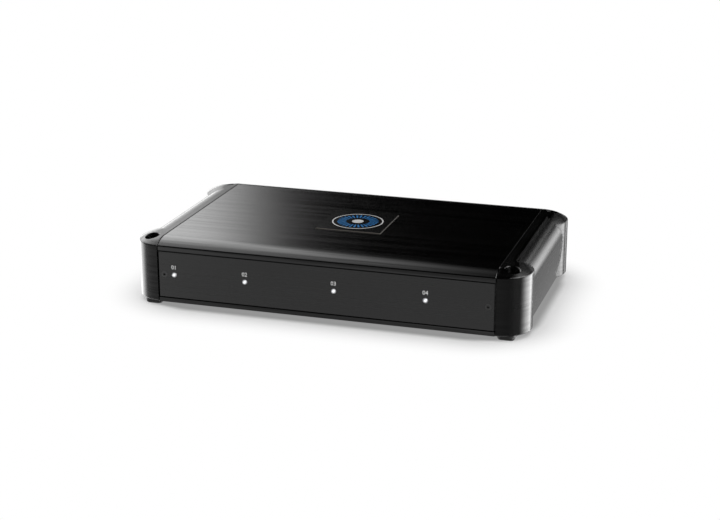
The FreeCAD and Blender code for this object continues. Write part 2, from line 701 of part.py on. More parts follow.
chamfer(end_cap, edges(end_cap, is_rim), s.mount_rim_break)
chamfer(end_cap, edges(end_cap, lambda e: lies_at(e, "z", base) and e.BoundBox.XMax > 1
                       and not is_ring(e, s.foot_plug_radius + s.foot_plug_gap)), s.cap_foot_break)
chamfer(end_cap, edges(end_cap, is_outline_at_seam), s.cap_edge_break)

other_cap = doc.addObject("Part::Mirroring", "end_cap_left")
other_cap.Label = "end_cap_left"
other_cap.Source = end_cap
other_cap.Normal = Vector(1, 0, 0)
nodes.append(other_cap)

# Rubber feet, plugged into the caps round the fixing holes
mount_x = seam + bore_x
for label, x, y in (
    ("foot_front_left", -mount_x, -bore_y),
    ("foot_front_right", mount_x, -bore_y),
    ("foot_rear_left", -mount_x, bore_y),
    ("foot_rear_right", mount_x, bore_y),
):
    foot = new_body(label, x, y)
    middle_x = s.foot_offset * (-1 if x.value > 0 else 1)
    middle_y = s.foot_offset * (1 if y.value > 0 else -1)
    wide = s.foot_width / 2
    sketch = new_sketch(foot, "XY")
    rectangle(sketch, middle_x - wide, middle_y - wide, middle_x + wide, middle_y + wide)
    pad(foot, sketch, base)
    fillet(foot, edges(foot, lambda e: e.BoundBox.ZLength > 1), s.foot_corner_radius)
    chamfer(foot, edges(foot, lambda e: lies_at(e, "z", 0)), s.foot_edge_break)
    sketch = new_sketch(foot, "XY", base)
    circle(sketch, 0, 0, s.foot_plug_radius)
    pad(foot, sketch, s.foot_plug_height)
    sketch = new_sketch(foot, "XY", base + s.foot_plug_height)
    circle(sketch, 0, 0, s.foot_bore_radius)
    pocket(foot, sketch)


# ---------------------------------------------------------------- screws

def sunk_screw(body, total):
    """Countersunk screw with its face at the body's origin, pointing down."""
    head, shank = s.screw_head_radius, s.screw_shank_radius
    return revolve(body, draw(new_sketch(body, "XZ"), [
        (0, -total), (shank, -total), (shank, shank - head), (head, 0), (0, 0),
    ]))


def pan_screw(body, grip):
    """Cylinder head screw seated at the body's origin, pointing down."""
    head, shank, high = s.pan_head_radius, s.pan_shank_radius, s.pan_head_height
    return revolve(body, draw(new_sketch(body, "XZ"), [
        (0, -grip), (shank, -grip), (shank, 0), (head, 0), (head, high), (0, high),
    ]))


# ---------------------------------------------------------------- bottom plate

bottom_plate = new_body("bottom_plate")
plate_x = half - s.plate_gap
plate_y = lip_inner - s.plate_gap
sketch = new_sketch(bottom_plate, "XY", base)
pad(bottom_plate, rectangle(sketch, -plate_x, -plate_y, plate_x, plate_y), s.plate_thickness)
cap_screw_end = seam + cap_screw_x
sketch = new_sketch(bottom_plate, "XY", floor)
for x in (-s.plate_screw_pitch, 0, s.plate_screw_pitch):
    for y in (plate_screw_front, plate_screw_rear):
        circle(sketch, x, y, s.screw_way_radius)
for x in (-cap_screw_end, cap_screw_end):
    for y in (-s.cap_screw_pitch / 2, s.cap_screw_pitch / 2):
        circle(sketch, x, y, s.screw_way_radius)
pocket(bottom_plate, sketch)
chamfer(bottom_plate, edges(bottom_plate, lambda e: is_ring(e, s.screw_way_radius)
                            and lies_at(e, "z", base)), sink_width)

screws = new_body("bottom_plate_screws", -s.plate_screw_pitch, plate_screw_rear, base, turn=180)
screw = sunk_screw(screws, s.screw_length)
repeat(screws, [screw], "X", s.plate_screw_pitch, 3, "Y", plate_screw_rear - plate_screw_front, 2)

screws = new_body("end_cap_screws", -cap_screw_end, s.cap_screw_pitch / 2, base, turn=180)
screw = sunk_screw(screws, s.screw_length)
repeat(screws, [screw], "X", cap_screw_end * 2, 2, "Y", s.cap_screw_pitch, 2)


# ---------------------------------------------------------------- front panel and lamps

front_panel = new_body("front_panel")
sketch = new_sketch(front_panel, "XZ", -face)
rectangle(sketch, -panel_half, panel_low, panel_half, panel_top)
pad(front_panel, sketch, s.panel_thickness)
sketch = new_sketch(front_panel, "XZ", -face)
for x in lamps:
    circle(sketch, x, middle, s.lamp_radius + s.lamp_gap)
for x in (-panel_screw_x, panel_screw_x):
    circle(sketch, x, middle, s.screw_way_radius)
pocket(front_panel, sketch, to="+")
chamfer(front_panel, edges(front_panel, lambda e: is_ring(e, s.screw_way_radius)
                           and lies_at(e, "y", -face)), sink_width)
chamfer(front_panel, edges(front_panel, lambda e: isinstance(e.Curve, Part.Line)
                           and lies_at(e, "y", -face)), s.panel_break)

screws = new_body("front_panel_screws", -panel_screw_x, -face, middle, turn=90)
screw = sunk_screw(screws, s.panel_thickness + s.wall_thickness)
repeat(screws, [screw], "X", panel_screw_x * 2, 2)

lamp_base = s.lamp_proud + face - s.lamp_length
for label, x in zip(("power_lamp", "clip_lamp_1", "clip_lamp_2", "clip_lamp_3"), lamps):
    lamp = new_body(label, x, -lamp_base, middle, turn=90)
    dome = s.lamp_length - s.lamp_radius
    revolve(lamp, draw(new_sketch(lamp, "XZ"), [
        (0, 0), (s.lamp_flange, 0), (s.lamp_flange, s.lamp_flange_height),
        (s.lamp_radius, s.lamp_flange_height), (s.lamp_radius, dome), (0, s.lamp_length),
    ], {4: (0, dome, s.lamp_radius)}))

# Board behind the lamps, on spacers, with a flat cable down to the main board
board_gap = inner_front + lamp_base
lamp_board_rear = -lamp_base + s.board_thickness
lamp_board = new_body("lamp_board")
sketch = new_sketch(lamp_board, "XZ", -lamp_base)
rectangle(sketch, lamps[0] - s.lamp_board_margin, middle - s.lamp_board_height / 2,
          lamps[-1] + s.lamp_board_margin, middle + s.lamp_board_height / 2)
pad(lamp_board, sketch, s.board_thickness)
sketch = new_sketch(lamp_board, "XZ", -lamp_base)
for x in spacers:
    circle(sketch, x, middle, s.pan_shank_radius + s.thread_gap)
pocket(lamp_board, sketch, to="+")

spacer = new_body("lamp_board_spacers")
sketch = new_sketch(spacer, "XZ", inner_front)
for x in spacers:
    circle(sketch, x, middle, s.spacer_radius)
    circle(sketch, x, middle, s.pan_shank_radius + s.thread_gap)
pad(spacer, sketch, -inner_front - lamp_base)

screws = new_body("lamp_board_screws", spacers[0], lamp_board_rear, middle, turn=-90)
screw = pan_screw(screws, s.board_thickness - inner_front - lamp_base + s.wall_thickness)
repeat(screws, [screw], "X", spacers[1] - spacers[0], 2)

cable = new_body("lamp_cable")
cable_out = lamp_board_rear + s.lamp_cable_reach
sketch = new_sketch(cable, "YZ", lamps[2] + s.lamp_cable_offset)
draw(sketch, [
    (lamp_board_rear, middle), (cable_out - s.lamp_cable_thickness, middle),
    (cable_out - s.lamp_cable_thickness, board_top), (cable_out, board_top),
    (cable_out, middle + s.lamp_cable_thickness),
    (lamp_board_rear, middle + s.lamp_cable_thickness),
])
pad(cable, sketch, s.lamp_cable_width, both_ways=True)


# ---------------------------------------------------------------- badge plate

badge = new_body("badge_plate")
badge_half = s.badge_width / 2
sketch = new_sketch(badge, "XY", top - s.badge_sink)
pad(badge, rectangle(sketch, -badge_half, -badge_half, badge_half, badge_half), s.badge_thickness)
chamfer(badge, edges(badge, lambda e: lies_at(e, "z", top - s.badge_sink + s.badge_thickness)),
        s.badge_break)


# ---------------------------------------------------------------- rear panel

rear_panel = new_body("rear_panel")
sketch = new_sketch(rear_panel, "XZ", seat_rear)
rectangle(sketch, -panel_half, panel_low, panel_half, panel_top)
pad(rear_panel, sketch, s.rear_panel_thickness)
pots = [control_left + s.pot_width / 2 + s.control_pitch * i + s.control_split * side
        for i in range(3) for side in (0, 1)]
switches = [(level + filter_) / 2 for level, filter_ in zip(pots[::2], pots[1::2])]
sketch = new_sketch(rear_panel, "XZ", rear_face)
for i in range(3):
    x = jack_x + s.jack_pitch * (i - 1)
    circle(sketch, x, jack_z, s.jack_collar_radius + s.block_gap)
    circle(sketch, x, jack_z + s.jack_rise, s.jack_collar_radius + s.block_gap)
for x in pots:
    circle(sketch, x, control_z, s.shaft_radius + s.shaft_way)
way = s.slider_width / 2 + s.slider_travel + s.shaft_way
for x in switches:
    high = s.slider_height / 2 + s.shaft_way
    rectangle(sketch, x - way, switch_z - high, x + way, switch_z + high)
for x, wide, high in (
    (speaker_x, speaker_half, board_top + s.speaker_height),
    (fuse_x, fuse_half, fuse_top),
    (power_x, power_half, board_top + s.power_height),
):
    gap = s.block_gap
    rectangle(sketch, x - wide - gap, board_top - gap, x + wide + gap, high + gap)
for x in (-panel_screw_x, panel_screw_x):
    for z in (panel_low + s.rear_screw_inset, panel_top - s.rear_screw_inset):
        circle(sketch, x, z, s.screw_way_radius)
pocket(rear_panel, sketch)
chamfer(rear_panel, edges(rear_panel, lambda e: is_ring(e, s.screw_way_radius)
                          and lies_at(e, "y", rear_face)), sink_width)
outside = panel_half.value - 0.01
chamfer(rear_panel, edges(rear_panel, lambda e: lies_at(e, "y", rear_face)
                          and (e.BoundBox.XLength > outside * 2
                               or lies_at(e, "x", panel_half) or lies_at(e, "x", -panel_half))),
        s.panel_break)

screws = new_body("rear_panel_screws", -panel_screw_x, rear_face,
                  panel_top - s.rear_screw_inset, turn=-90)
screw = sunk_screw(screws, s.rear_panel_thickness + s.wall_thickness)
repeat(screws, [screw], "X", panel_screw_x * 2, 2,
       "Y", panel_top - panel_low - s.rear_screw_inset * 2, 2)


# ---------------------------------------------------------------- boards

main_board = new_body("main_board")
sketch = new_sketch(main_board, "XY", s.ledge_top)
board_half = seam - s.spigot_length - s.board_end_gap
rectangle(sketch, -board_half, inner_front + s.board_gap, board_half, inner_rear - s.board_gap)
pad(main_board, sketch, s.board_thickness)
sketch = new_sketch(main_board, "XY", board_top)
for x, y in board_screws:
    circle(sketch, x, y, s.pan_shank_radius + s.thread_gap)
pocket(main_board, sketch)

screws = new_body("board_screws", 0, 0, board_top)
for radius, length, to in ((s.pan_shank_radius, s.board_thickness + s.ledge_thickness, "-"),
                           (s.pan_head_radius, s.pan_head_height, "+")):
    sketch = new_sketch(screws, "XY")
    for x, y in board_screws:
        circle(sketch, x, y, radius)
    pad(screws, sketch, length, to)

input_board = new_body("input_board")
input_face = inner_rear - s.control_depth
sketch = new_sketch(input_board, "XZ", input_face - s.board_thickness)
rectangle(sketch, jack_x - jack_half - s.input_board_margin, board_top,
          control_right + s.input_board_margin, inner_top - s.input_board_drop)
pad(input_board, sketch, s.board_thickness)


# ---------------------------------------------------------------- line sockets

block_depth = seat_rear - input_face
jack_block = new_body("line_socket_block")
sketch = new_sketch(jack_block, "XZ", input_face)
rectangle(sketch, jack_x - jack_half, board_top, jack_x + jack_half, jack_top)
pad(jack_block, sketch, block_depth)
sketch = new_sketch(jack_block, "XZ", seat_rear)
circle(sketch, jack_x - s.jack_pitch, jack_z, s.jack_radius + s.thread_gap)
hole = pocket(jack_block, sketch, s.jack_seat)
repeat(jack_block, [hole], "X", s.jack_pitch, 3, "Z", s.jack_rise, 2)

# Lengths along each socket are counted from the inner face of the rear panel.
collar_end = s.rear_panel_thickness + s.jack_collar_proud
shell_end = s.rear_panel_thickness + s.jack_proud
insert_end = shell_end - s.jack_sink
shells = new_body("line_socket_shells", jack_x - s.jack_pitch, seat_rear,
                  jack_z + s.jack_rise, turn=-90)
shell = revolve(shells, draw(new_sketch(shells, "XZ"), [
    (s.jack_bore_radius, -s.jack_seat), (s.jack_radius, -s.jack_seat), (s.jack_radius, 0),
    (s.jack_collar_radius, 0), (s.jack_collar_radius, collar_end), (s.jack_radius, collar_end),
    (s.jack_radius, shell_end), (s.jack_bore_radius, shell_end),
]))
repeat(shells, [shell], "X", s.jack_pitch, 3, "Y", s.jack_rise, 2)

for label, z in (("line_socket_inserts_low", jack_z),
                 ("line_socket_inserts_high", jack_z + s.jack_rise)):
    inserts = new_body(label, jack_x - s.jack_pitch, seat_rear, z, turn=-90)
    fit = s.jack_bore_radius - s.thread_gap
    insert = revolve(inserts, draw(new_sketch(inserts, "XZ"), [
        (0, -s.jack_seat), (fit, -s.jack_seat), (fit, insert_end),
        (s.jack_pin_radius, insert_end), (s.jack_pin_radius, -s.jack_seat / 2),
        (0, -s.jack_seat / 2),
    ]))
    repeat(inserts, [insert], "X", s.jack_pitch, 3)


# ---------------------------------------------------------------- rotary controls

housing_end = seat_rear - s.block_gap
housings = new_body("control_housings")
sketch = new_sketch(housings, "XZ", input_face)
low = control_z - s.pot_width / 2
rectangle(sketch, pots[0] - s.pot_width / 2, low, pots[0] + s.pot_width / 2, low + s.pot_width)
box = pad(housings, sketch, housing_end - input_face)
sketch = new_sketch(housings, "XZ", housing_end)
circle(sketch, pots[0], control_z, s.shaft_radius + s.shaft_gap)
hole = pocket(housings, sketch, s.shaft_seat + s.shaft_gap)
repeat(housings, [box, hole], "X", s.control_split, 2, "X", s.control_pitch, 3)

shaft_length = s.shaft_seat + s.block_gap + s.rear_panel_thickness + s.shaft_proud
for i, x in enumerate(pots):
    shaft = new_body(("level_shaft_%d", "filter_shaft_%d")[i % 2] % (i // 2 + 1),
                     x, housing_end - s.shaft_seat, control_z, turn=-90)
    edge = s.shaft_edge_break
    revolve(shaft, draw(new_sketch(shaft, "XZ"), [
        (0, 0), (s.shaft_radius, 0), (s.shaft_radius, shaft_length - edge),
        (s.shaft_radius - edge, shaft_length), (0, shaft_length),
    ]))
    sketch = new_sketch(shaft, "XY", shaft_length)
    wide = s.shaft_slot_width / 2
    rectangle(sketch, -wide, -s.shaft_radius, wide, s.shaft_radius)
    pocket(shaft, sketch, s.shaft_slot_depth)


# ---------------------------------------------------------------- slide switches

frames = new_body("switch_frames")
sketch = new_sketch(frames, "XZ", input_face)
wide, high = s.switch_width / 2, s.switch_height / 2
rectangle(sketch, switches[0] - wide, switch_z - high, switches[0] + wide, switch_z + high)
box = pad(frames, sketch, housing_end - input_face)
sketch = new_sketch(frames, "XZ", housing_end)
wide = s.slider_width / 2 + s.slider_travel + s.slider_gap
high = s.slider_height / 2 + s.slider_gap
rectangle(sketch, switches[0] - wide, switch_z - high, switches[0] + wide, switch_z + high)
slot = pocket(frames, sketch, s.slider_seat + s.slider_gap)
repeat(frames, [box, slot], "X", s.control_pitch, 3)

for i, x in enumerate(switches):
    slider = new_body("mode_slider_%d" % (i + 1))
    sketch = new_sketch(slider, "XZ", housing_end - s.slider_seat)
    wide, high = s.slider_width / 2, s.slider_height / 2
    rectangle(sketch, x - wide, switch_z - high, x + wide, switch_z + high)
    tip = rear_face + s.slider_proud
    pad(slider, sketch, tip - housing_end + s.slider_seat)
    chamfer(slider, edges(slider, lambda e: lies_at(e, "y", tip)), s.shaft_edge_break)


# ---------------------------------------------------------------- screw terminals

block_front = rear_face + s.block_proud
bay_back = block_front - s.bay_depth


def terminals(label, x, pitch, count, height, bay_width, screw_radius):
    """A moulded block with bays open to the rear and above, a clamp and a screw in each."""
    wide = pitch * count / 2 + s.block_end_wall
    block = new_body(f"{label}_terminal_block", x, 0, board_top)
    sketch = new_sketch(block, "XZ", block_front)
    rectangle(sketch, -wide, 0, wide, height)
    pad(block, sketch, s.block_length, to="-")
    first = -pitch * (count - 1) / 2
    screw_z = (s.block_floor + height) / 2
    sketch = new_sketch(block, "XZ", block_front)
    rectangle(sketch, first - bay_width / 2, s.block_floor, first + bay_width / 2, height)
    bay = pocket(block, sketch, s.bay_depth)
    sketch = new_sketch(block, "XZ", bay_back)
    shank = screw_radius / 2
    circle(sketch, first, screw_z, shank + s.thread_gap)
    hole = pocket(block, sketch, s.bay_depth)
    repeat(block, [bay, hole], "X", pitch, count)

    clamps = new_body(f"{label}_clamps", x, 0, board_top)
    sketch = new_sketch(clamps, "XZ", bay_back)
    gap = s.clamp_gap
    rectangle(sketch, first - bay_width / 2 + gap, s.block_floor + gap,
              first + bay_width / 2 - gap, height - gap)
    plate = pad(clamps, sketch, s.clamp_thickness)
    sketch = new_sketch(clamps, "XZ", bay_back)
    circle(sketch, first, screw_z, shank + s.thread_gap)
    hole = pocket(clamps, sketch, s.clamp_thickness, to="+")
    repeat(clamps, [plate, hole], "X", pitch, count)

    head = s.terminal_head_height
    screws = new_body(f"{label}_screws", x + first, bay_back + s.clamp_thickness,
                      board_top + screw_z, turn=-90)
    screw = revolve(screws, draw(new_sketch(screws, "XZ"), [
        (0, -s.bay_depth), (shank, -s.bay_depth), (shank, 0), (screw_radius, 0),
        (screw_radius, head), (0, head),
    ]))
    repeat(screws, [screw], "X", pitch, count)


terminals("speaker", speaker_x, s.speaker_pitch, speaker_count, s.speaker_height,
          s.speaker_bay_width, s.speaker_screw_radius)
terminals("power", power_x, s.power_pitch, power_count, s.power_height,
          s.power_bay_width, s.power_screw_radius)


# ---------------------------------------------------------------- fuses

fuse_tip = rear_face + s.fuse_proud
fuse_foot = fuse_tip - s.fuse_body
socket = new_body("fuse_socket")
socket_front = rear_face + s.jack_collar_proud
sketch = new_sketch(socket, "XZ", socket_front)
rectangle(sketch, fuse_x - fuse_half, board_top, fuse_x + fuse_half, fuse_top)
pad(socket, sketch, s.fuse_block_length, to="-")
wide, high = s.fuse_width / 2 + s.fuse_gap, s.fuse_thickness / 2 + s.fuse_gap
blade_x = s.fuse_width / 2 - s.blade_inset - s.blade_width / 2
sketch = new_sketch(socket, "XZ", socket_front)
rectangle(sketch, fuse_x - wide, fuse_z - high, fuse_x + wide, fuse_z + high)
seat = pocket(socket, sketch, socket_front - fuse_foot + s.fuse_gap)
sketch = new_sketch(socket, "XZ", fuse_foot)
for x in (fuse_x - blade_x, fuse_x + blade_x):
    wide, high = s.blade_width / 2 + s.fuse_gap, s.blade_thickness / 2 + s.fuse_gap
    rectangle(sketch, x - wide, fuse_z - high, x + wide, fuse_z + high)
slots = pocket(socket, sketch, s.blade_length + s.fuse_gap)
repeat(socket, [seat, slots], "Z", s.fuse_rise, 2)

for label, z in (("fuse_low", fuse_z), ("fuse_high", fuse_z + s.fuse_rise)):
    fuse = new_body(label, fuse_x, 0, z)
    sketch = new_sketch(fuse, "XZ", fuse_foot)
    wide, high = s.fuse_width / 2, s.fuse_thickness / 2
    rectangle(sketch, -wide, -high, wide, high)
    pad(fuse, sketch, s.fuse_body)
    chamfer(fuse, edges(fuse, lambda e: lies_at(e, "y", fuse_tip)), s.shaft_edge_break)

blades = new_body("fuse_blades", fuse_x, 0, fuse_z)
sketch = new_sketch(blades, "XZ", fuse_foot)
for x in (-blade_x, blade_x):
    wide, high = s.blade_width / 2, s.blade_thickness / 2
    rectangle(sketch, x - wide, -high, x + wide, high)
blade = pad(blades, sketch, s.blade_length, to="-")
repeat(blades, [blade], "Z", s.fuse_rise, 2)


# ---------------------------------------------------------------- parts on the main board

def wound_ring(body, hole, radius, height, slope):
    """A ring standing on the board, its outer edges sloped."""
    return revolve(body, draw(new_sketch(body, "XZ"), [
        (hole, 0), (radius - slope, 0), (radius, slope), (radius, height - slope),
        (radius - slope, height), (hole, height),
    ]))


reservoir_x = board_half - s.reservoir_inset - s.reservoir_pitch
transformer_x = reservoir_x - s.reservoir_radius - s.transformer_gap - s.transformer_radius
transformer = new_body("transformer", transformer_x, s.transformer_y, board_top)
wound_ring(transformer, s.transformer_hole, s.transformer_radius, s.transformer_height,
           s.transformer_break)

chokes = new_body("output_chokes", s.choke_inset - board_half, s.choke_y, board_top)
choke = wound_ring(chokes, s.choke_hole, s.choke_radius, s.choke_height, s.choke_break)
repeat(chokes, [choke], "X", s.choke_pitch, 5)

reservoirs = new_body("reservoir_capacitors", reservoir_x, s.reservoir_y, board_top)
sketch = new_sketch(reservoirs, "XY")
circle(sketch, 0, 0, s.reservoir_radius)
can = pad(reservoirs, sketch, s.reservoir_height)
repeat(reservoirs, [can], "X", s.reservoir_pitch, 2, "Y", s.reservoir_pitch, 3)

# Heat spreader: an angle under the top, with the power transistors clamped to its front face
spreader = new_body("heat_spreader")
spreader_rear = s.spreader_y + s.spreader_thickness
foot_rear = spreader_foot + s.spreader_thickness
foot_low = inner_top - s.spreader_thickness / 2
sketch = new_sketch(spreader, "YZ")
draw(sketch, [
    (s.spreader_y, inner_top - s.spreader_drop), (spreader_rear, inner_top - s.spreader_drop),
    (spreader_rear, foot_low), (foot_rear, foot_low), (foot_rear, inner_top),
    (s.spreader_y, inner_top),
])
pad(spreader, sketch, s.spreader_length, both_ways=True)
sketch = new_sketch(spreader, "XY", inner_top)
for x in (-spreader_screw_x, spreader_screw_x):
    circle(sketch, x, spreader_foot, s.pan_shank_radius + s.thread_gap)
pocket(spreader, sketch, s.spreader_thickness / 2)

screws = new_body("spreader_screws", -spreader_screw_x, spreader_foot, foot_low, turn=180)
screw = pan_screw(screws, s.spreader_thickness / 2 + s.skin_thickness / 2)
repeat(screws, [screw], "X", spreader_screw_x * 2, 2)

transistor_x = s.transistor_inset - s.spreader_length / 2
transistors = new_body("power_transistors", transistor_x, s.spreader_y, board_top)
wide = s.transistor_width / 2
sketch = new_sketch(transistors, "XZ", 0)
rectangle(sketch, -wide, s.transistor_lead, wide, s.transistor_lead + s.transistor_height)
case = pad(transistors, sketch, s.transistor_thickness, to="-")
lead = s.blade_thickness / 2
sketch = new_sketch(transistors, "XZ", -s.transistor_thickness / 2)
for x in (-wide / 2, wide * 0, wide / 2):
    rectangle(sketch, x - lead, 0, x + lead, s.transistor_lead)
leads = pad(transistors, sketch, s.blade_thickness, to="-")
repeat(transistors, [case, leads], "X", s.transistor_pitch, 8)

clamp_bar = new_body("transistor_clamp_bar")
bar_y = s.spreader_y - s.transistor_thickness
bar_z = board_top + s.transistor_lead + s.transistor_height / 2
last_transistor = transistor_x + s.transistor_pitch * 7
clamp_screws = [transistor_x + s.transistor_pitch * (i + 0.5) for i in (0, 3, 6)]
sketch = new_sketch(clamp_bar, "XZ", bar_y)
rectangle(sketch, transistor_x - wide, bar_z - s.clamp_bar_height / 2,
          last_transistor + wide, bar_z + s.clamp_bar_height / 2)
pad(clamp_bar, sketch, s.clamp_bar_thickness, to="-")
sketch = new_sketch(clamp_bar, "XZ", bar_y)
for x in clamp_screws:
    circle(sketch, x, bar_z, s.pan_shank_radius + s.thread_gap)
pocket(clamp_bar, sketch, to="-")

sketch = new_sketch(spreader, "XZ", s.spreader_y)
for x in clamp_screws:
    circle(sketch, x, bar_z, s.pan_shank_radius + s.thread_gap)
pocket(spreader, sketch, s.spreader_thickness, to="+")

screws = new_body("clamp_bar_screws", clamp_screws[0], bar_y - s.clamp_bar_thickness, bar_z, turn=90)
screw = pan_screw(screws, s.clamp_bar_thickness + s.transistor_thickness + s.spreader_thickness)
repeat(screws, [screw], "X", s.transistor_pitch * 3, 3)


# ---------------------------------------------------------------- checks and export

doc.recompute()
for item in doc.Objects:
    if "Invalid" in item.State or "Error" in item.State:
        raise RuntimeError(f"{item.Label}: {item.State}")
os.makedirs("parts", exist_ok=True)
for node in nodes:
    if node.Shape.isNull() or not node.Shape.isValid() or not node.Shape.Solids:
        raise RuntimeError(f"{node.Label} has no valid shape")
    node.Shape.exportStep(f"parts/{node.Label}.step")
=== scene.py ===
import math
import bmesh
import bpy
from mathutils import Matrix, Vector


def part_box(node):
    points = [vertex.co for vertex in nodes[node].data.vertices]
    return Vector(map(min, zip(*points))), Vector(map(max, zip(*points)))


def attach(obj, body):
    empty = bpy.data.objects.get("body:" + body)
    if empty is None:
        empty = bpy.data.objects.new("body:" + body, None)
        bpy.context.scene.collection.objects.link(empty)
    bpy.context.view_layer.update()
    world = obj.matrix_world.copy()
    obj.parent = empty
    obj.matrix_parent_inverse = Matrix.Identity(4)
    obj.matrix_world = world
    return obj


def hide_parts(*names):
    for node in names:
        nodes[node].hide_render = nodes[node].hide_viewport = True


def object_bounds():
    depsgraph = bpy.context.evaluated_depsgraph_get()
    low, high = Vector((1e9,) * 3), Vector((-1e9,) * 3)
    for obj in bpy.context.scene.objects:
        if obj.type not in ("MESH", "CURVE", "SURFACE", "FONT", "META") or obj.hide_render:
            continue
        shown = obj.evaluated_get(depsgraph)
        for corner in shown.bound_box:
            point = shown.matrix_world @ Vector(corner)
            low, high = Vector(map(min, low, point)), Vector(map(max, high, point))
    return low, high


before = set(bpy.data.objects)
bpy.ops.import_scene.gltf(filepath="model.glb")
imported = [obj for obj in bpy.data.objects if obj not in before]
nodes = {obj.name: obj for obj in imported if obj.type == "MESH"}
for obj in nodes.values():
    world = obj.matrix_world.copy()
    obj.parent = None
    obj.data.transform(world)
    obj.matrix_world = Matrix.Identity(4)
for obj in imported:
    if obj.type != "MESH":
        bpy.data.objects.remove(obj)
cad_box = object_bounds()


# ---------------------------------------------------------------- camera
# A long lens in front of the lamp panel, a little to the right of it and above. It looks
# straight along the line given by two angles: round from the front, and up.

camera = bpy.data.objects.new("camera", bpy.data.cameras.new("camera"))
camera.data.lens = 80
camera.data.sensor_width = 36
around = math.radians(17.2069)
above = math.radians(17.9674)
back = Vector((math.sin(around) * math.cos(above), -math.cos(around) * math.cos(above),
               math.sin(above)))
camera_place = (0.40888, -1.31383, 0.47047)
camera.matrix_world = (Matrix.Translation(camera_place)
                       @ back.to_track_quat("Z", "Y").to_matrix().to_4x4())
bpy.context.collection.objects.link(camera)
bpy.context.scene.camera = camera
bpy.context.scene.view_settings.view_transform = "Standard"


# ---------------------------------------------------------------- studio
# White floor and background under a wide soft light from above. Gloss mirrors its own
# surroundings: dark above the horizon and white below it, with a large soft box over the
# left side, some cards and flags round the case, and a light panel beside the right end.

def add_node(tree, kind, settings=(), **inputs):
    """A shader node with its settings and its plain or linked inputs; n0 is the first."""
    node = tree.nodes.new(kind)
    for key, value in dict(settings).items():
        setattr(node, key, value)
    for key, value in inputs.items():
        numbered = key[0] == "n" and key[1:].isdigit()
        socket = node.inputs[int(key[1:]) if numbered else key.replace("_", " ")]
        if isinstance(value, bpy.types.NodeSocket):
            tree.links.new(value, socket)
        else:
            socket.default_value = value
    return node


def work(tree, operation, *values, clamp=False):
    """The result of a Math node on plain or linked values."""
    node = add_node(tree, "ShaderNodeMath", {"operation": operation, "use_clamp": clamp},
                    **{f"n{i}": value for i, value in enumerate(values)})
    return node.outputs[0]


def ramp(tree, value, low, high, start=0, end=1):
    """Runs smoothly from start at low to end at high; low may be the larger one."""
    node = add_node(tree, "ShaderNodeMapRange", {"interpolation_type": "SMOOTHSTEP"},
                    Value=value, From_Min=low, From_Max=high, To_Min=start, To_Max=end)
    return node.outputs["Result"]


def window(tree, value, opens, full, fades, shut):
    """1 from full to fades, and 0 before it opens and after it is shut."""
    return work(tree, "MULTIPLY", ramp(tree, value, opens, full),
                ramp(tree, value, shut, fades))


world = bpy.data.worlds.new("studio")
world.use_nodes = True
tree = world.node_tree
tree.nodes.clear()
direction = add_node(tree, "ShaderNodeSeparateXYZ",
                     Vector=add_node(tree, "ShaderNodeTexCoord").outputs["Generated"])
towards_x, towards_y, towards_z = direction.outputs

# The soft box over the left side. Its right edge slants and softens as it rises from
# behind the case (tilt 0) towards overhead, and it grows brighter at its far left.
tilt = work(tree, "ARCTAN2", towards_z, towards_y)
slant = (math.radians(25), math.radians(60))
soft_edge = ramp(tree, tilt, *slant, -0.265, -0.12)
full_edge = ramp(tree, tilt, *slant, -0.4, -0.45)
radiance = ramp(tree, tilt, *slant, 8.5, 6.8)
box_foot = ramp(tree, towards_x, -0.28, -0.38, math.radians(16.5), math.radians(2.5))
left_box = work(tree, "POWER", ramp(tree, towards_x, soft_edge, full_edge), 1.5)
left_box = work(tree, "MULTIPLY", left_box, radiance)
left_box = work(tree, "MULTIPLY", left_box,
                ramp(tree, work(tree, "SUBTRACT", tilt, box_foot), 0, math.radians(42)))
left_box = work(tree, "MULTIPLY", left_box,
                ramp(tree, tilt, math.radians(115), math.radians(58)))
boxes = work(tree, "MULTIPLY_ADD", ramp(tree, towards_x, -0.4, -0.52),
             work(tree, "MULTIPLY", left_box, 0.3), left_box)
below_horizon = ramp(tree, towards_z, 0.01, -0.01)
boxes = work(tree, "ADD", boxes, below_horizon)

# Cards and, with a negative radiance, flags. Each has a window in degrees, counted round
# to the right from straight behind the case, a window in height, and its radiance.
round_about = work(tree, "ARCTAN2", towards_x, towards_y)
cards = {
    "behind_right_end": ((15, 25, 27, 38), (-0.3, -0.2, -0.12, 0.24), 7),
    "behind_left_end": ((-60, -38, -26, -20), (-0.12, 0, 0.1, 0.2), 3.6),
    "low_left": ((-105, -75, -55, -30), (-0.8, -0.6, -0.15, 0.28), 6),
    "above_right_end": ((11, 17, 23, 28), (0.22, 0.26, 0.3, 0.4), 2),
    "high_right": ((40, 62, 95, 120), (0.4, 0.55, 0.85, 0.95), 18),
    "low_left_front": ((-160, -146, -112, -96), (-0.6, -0.4, -0.2, 0), 1.3),
    "flag_behind": ((-32, -14, 12, 34), (-0.9, -0.7, -0.1, 0), -0.5),
    "flag_right_front": ((84, 100, 135, 178), (-0.9, -0.7, -0.1, 0), -0.25)}
for degrees, heights, radiance in cards.values():
    card = work(tree, "MULTIPLY", window(tree, round_about, *map(math.radians, degrees)),
                window(tree, towards_z, *heights))
    boxes = work(tree, "MULTIPLY_ADD", card, radiance, boxes)

# Gloss sees the boxes, the lens sees white, and matt surfaces get an even dim light
path = add_node(tree, "ShaderNodeLightPath")
seen_in_gloss = work(tree, "MAXIMUM", boxes, 0)
strength = add_node(tree, "ShaderNodeMix", {"data_type": "FLOAT"},
                    n0=path.outputs["Is Glossy Ray"], n2=0.35, n3=seen_in_gloss).outputs[0]
strength = work(tree, "MAXIMUM", strength, path.outputs["Is Camera Ray"])
light = add_node(tree, "ShaderNodeBackground", Strength=strength)
add_node(tree, "ShaderNodeOutputWorld", Surface=light.outputs[0])
bpy.context.scene.world = world

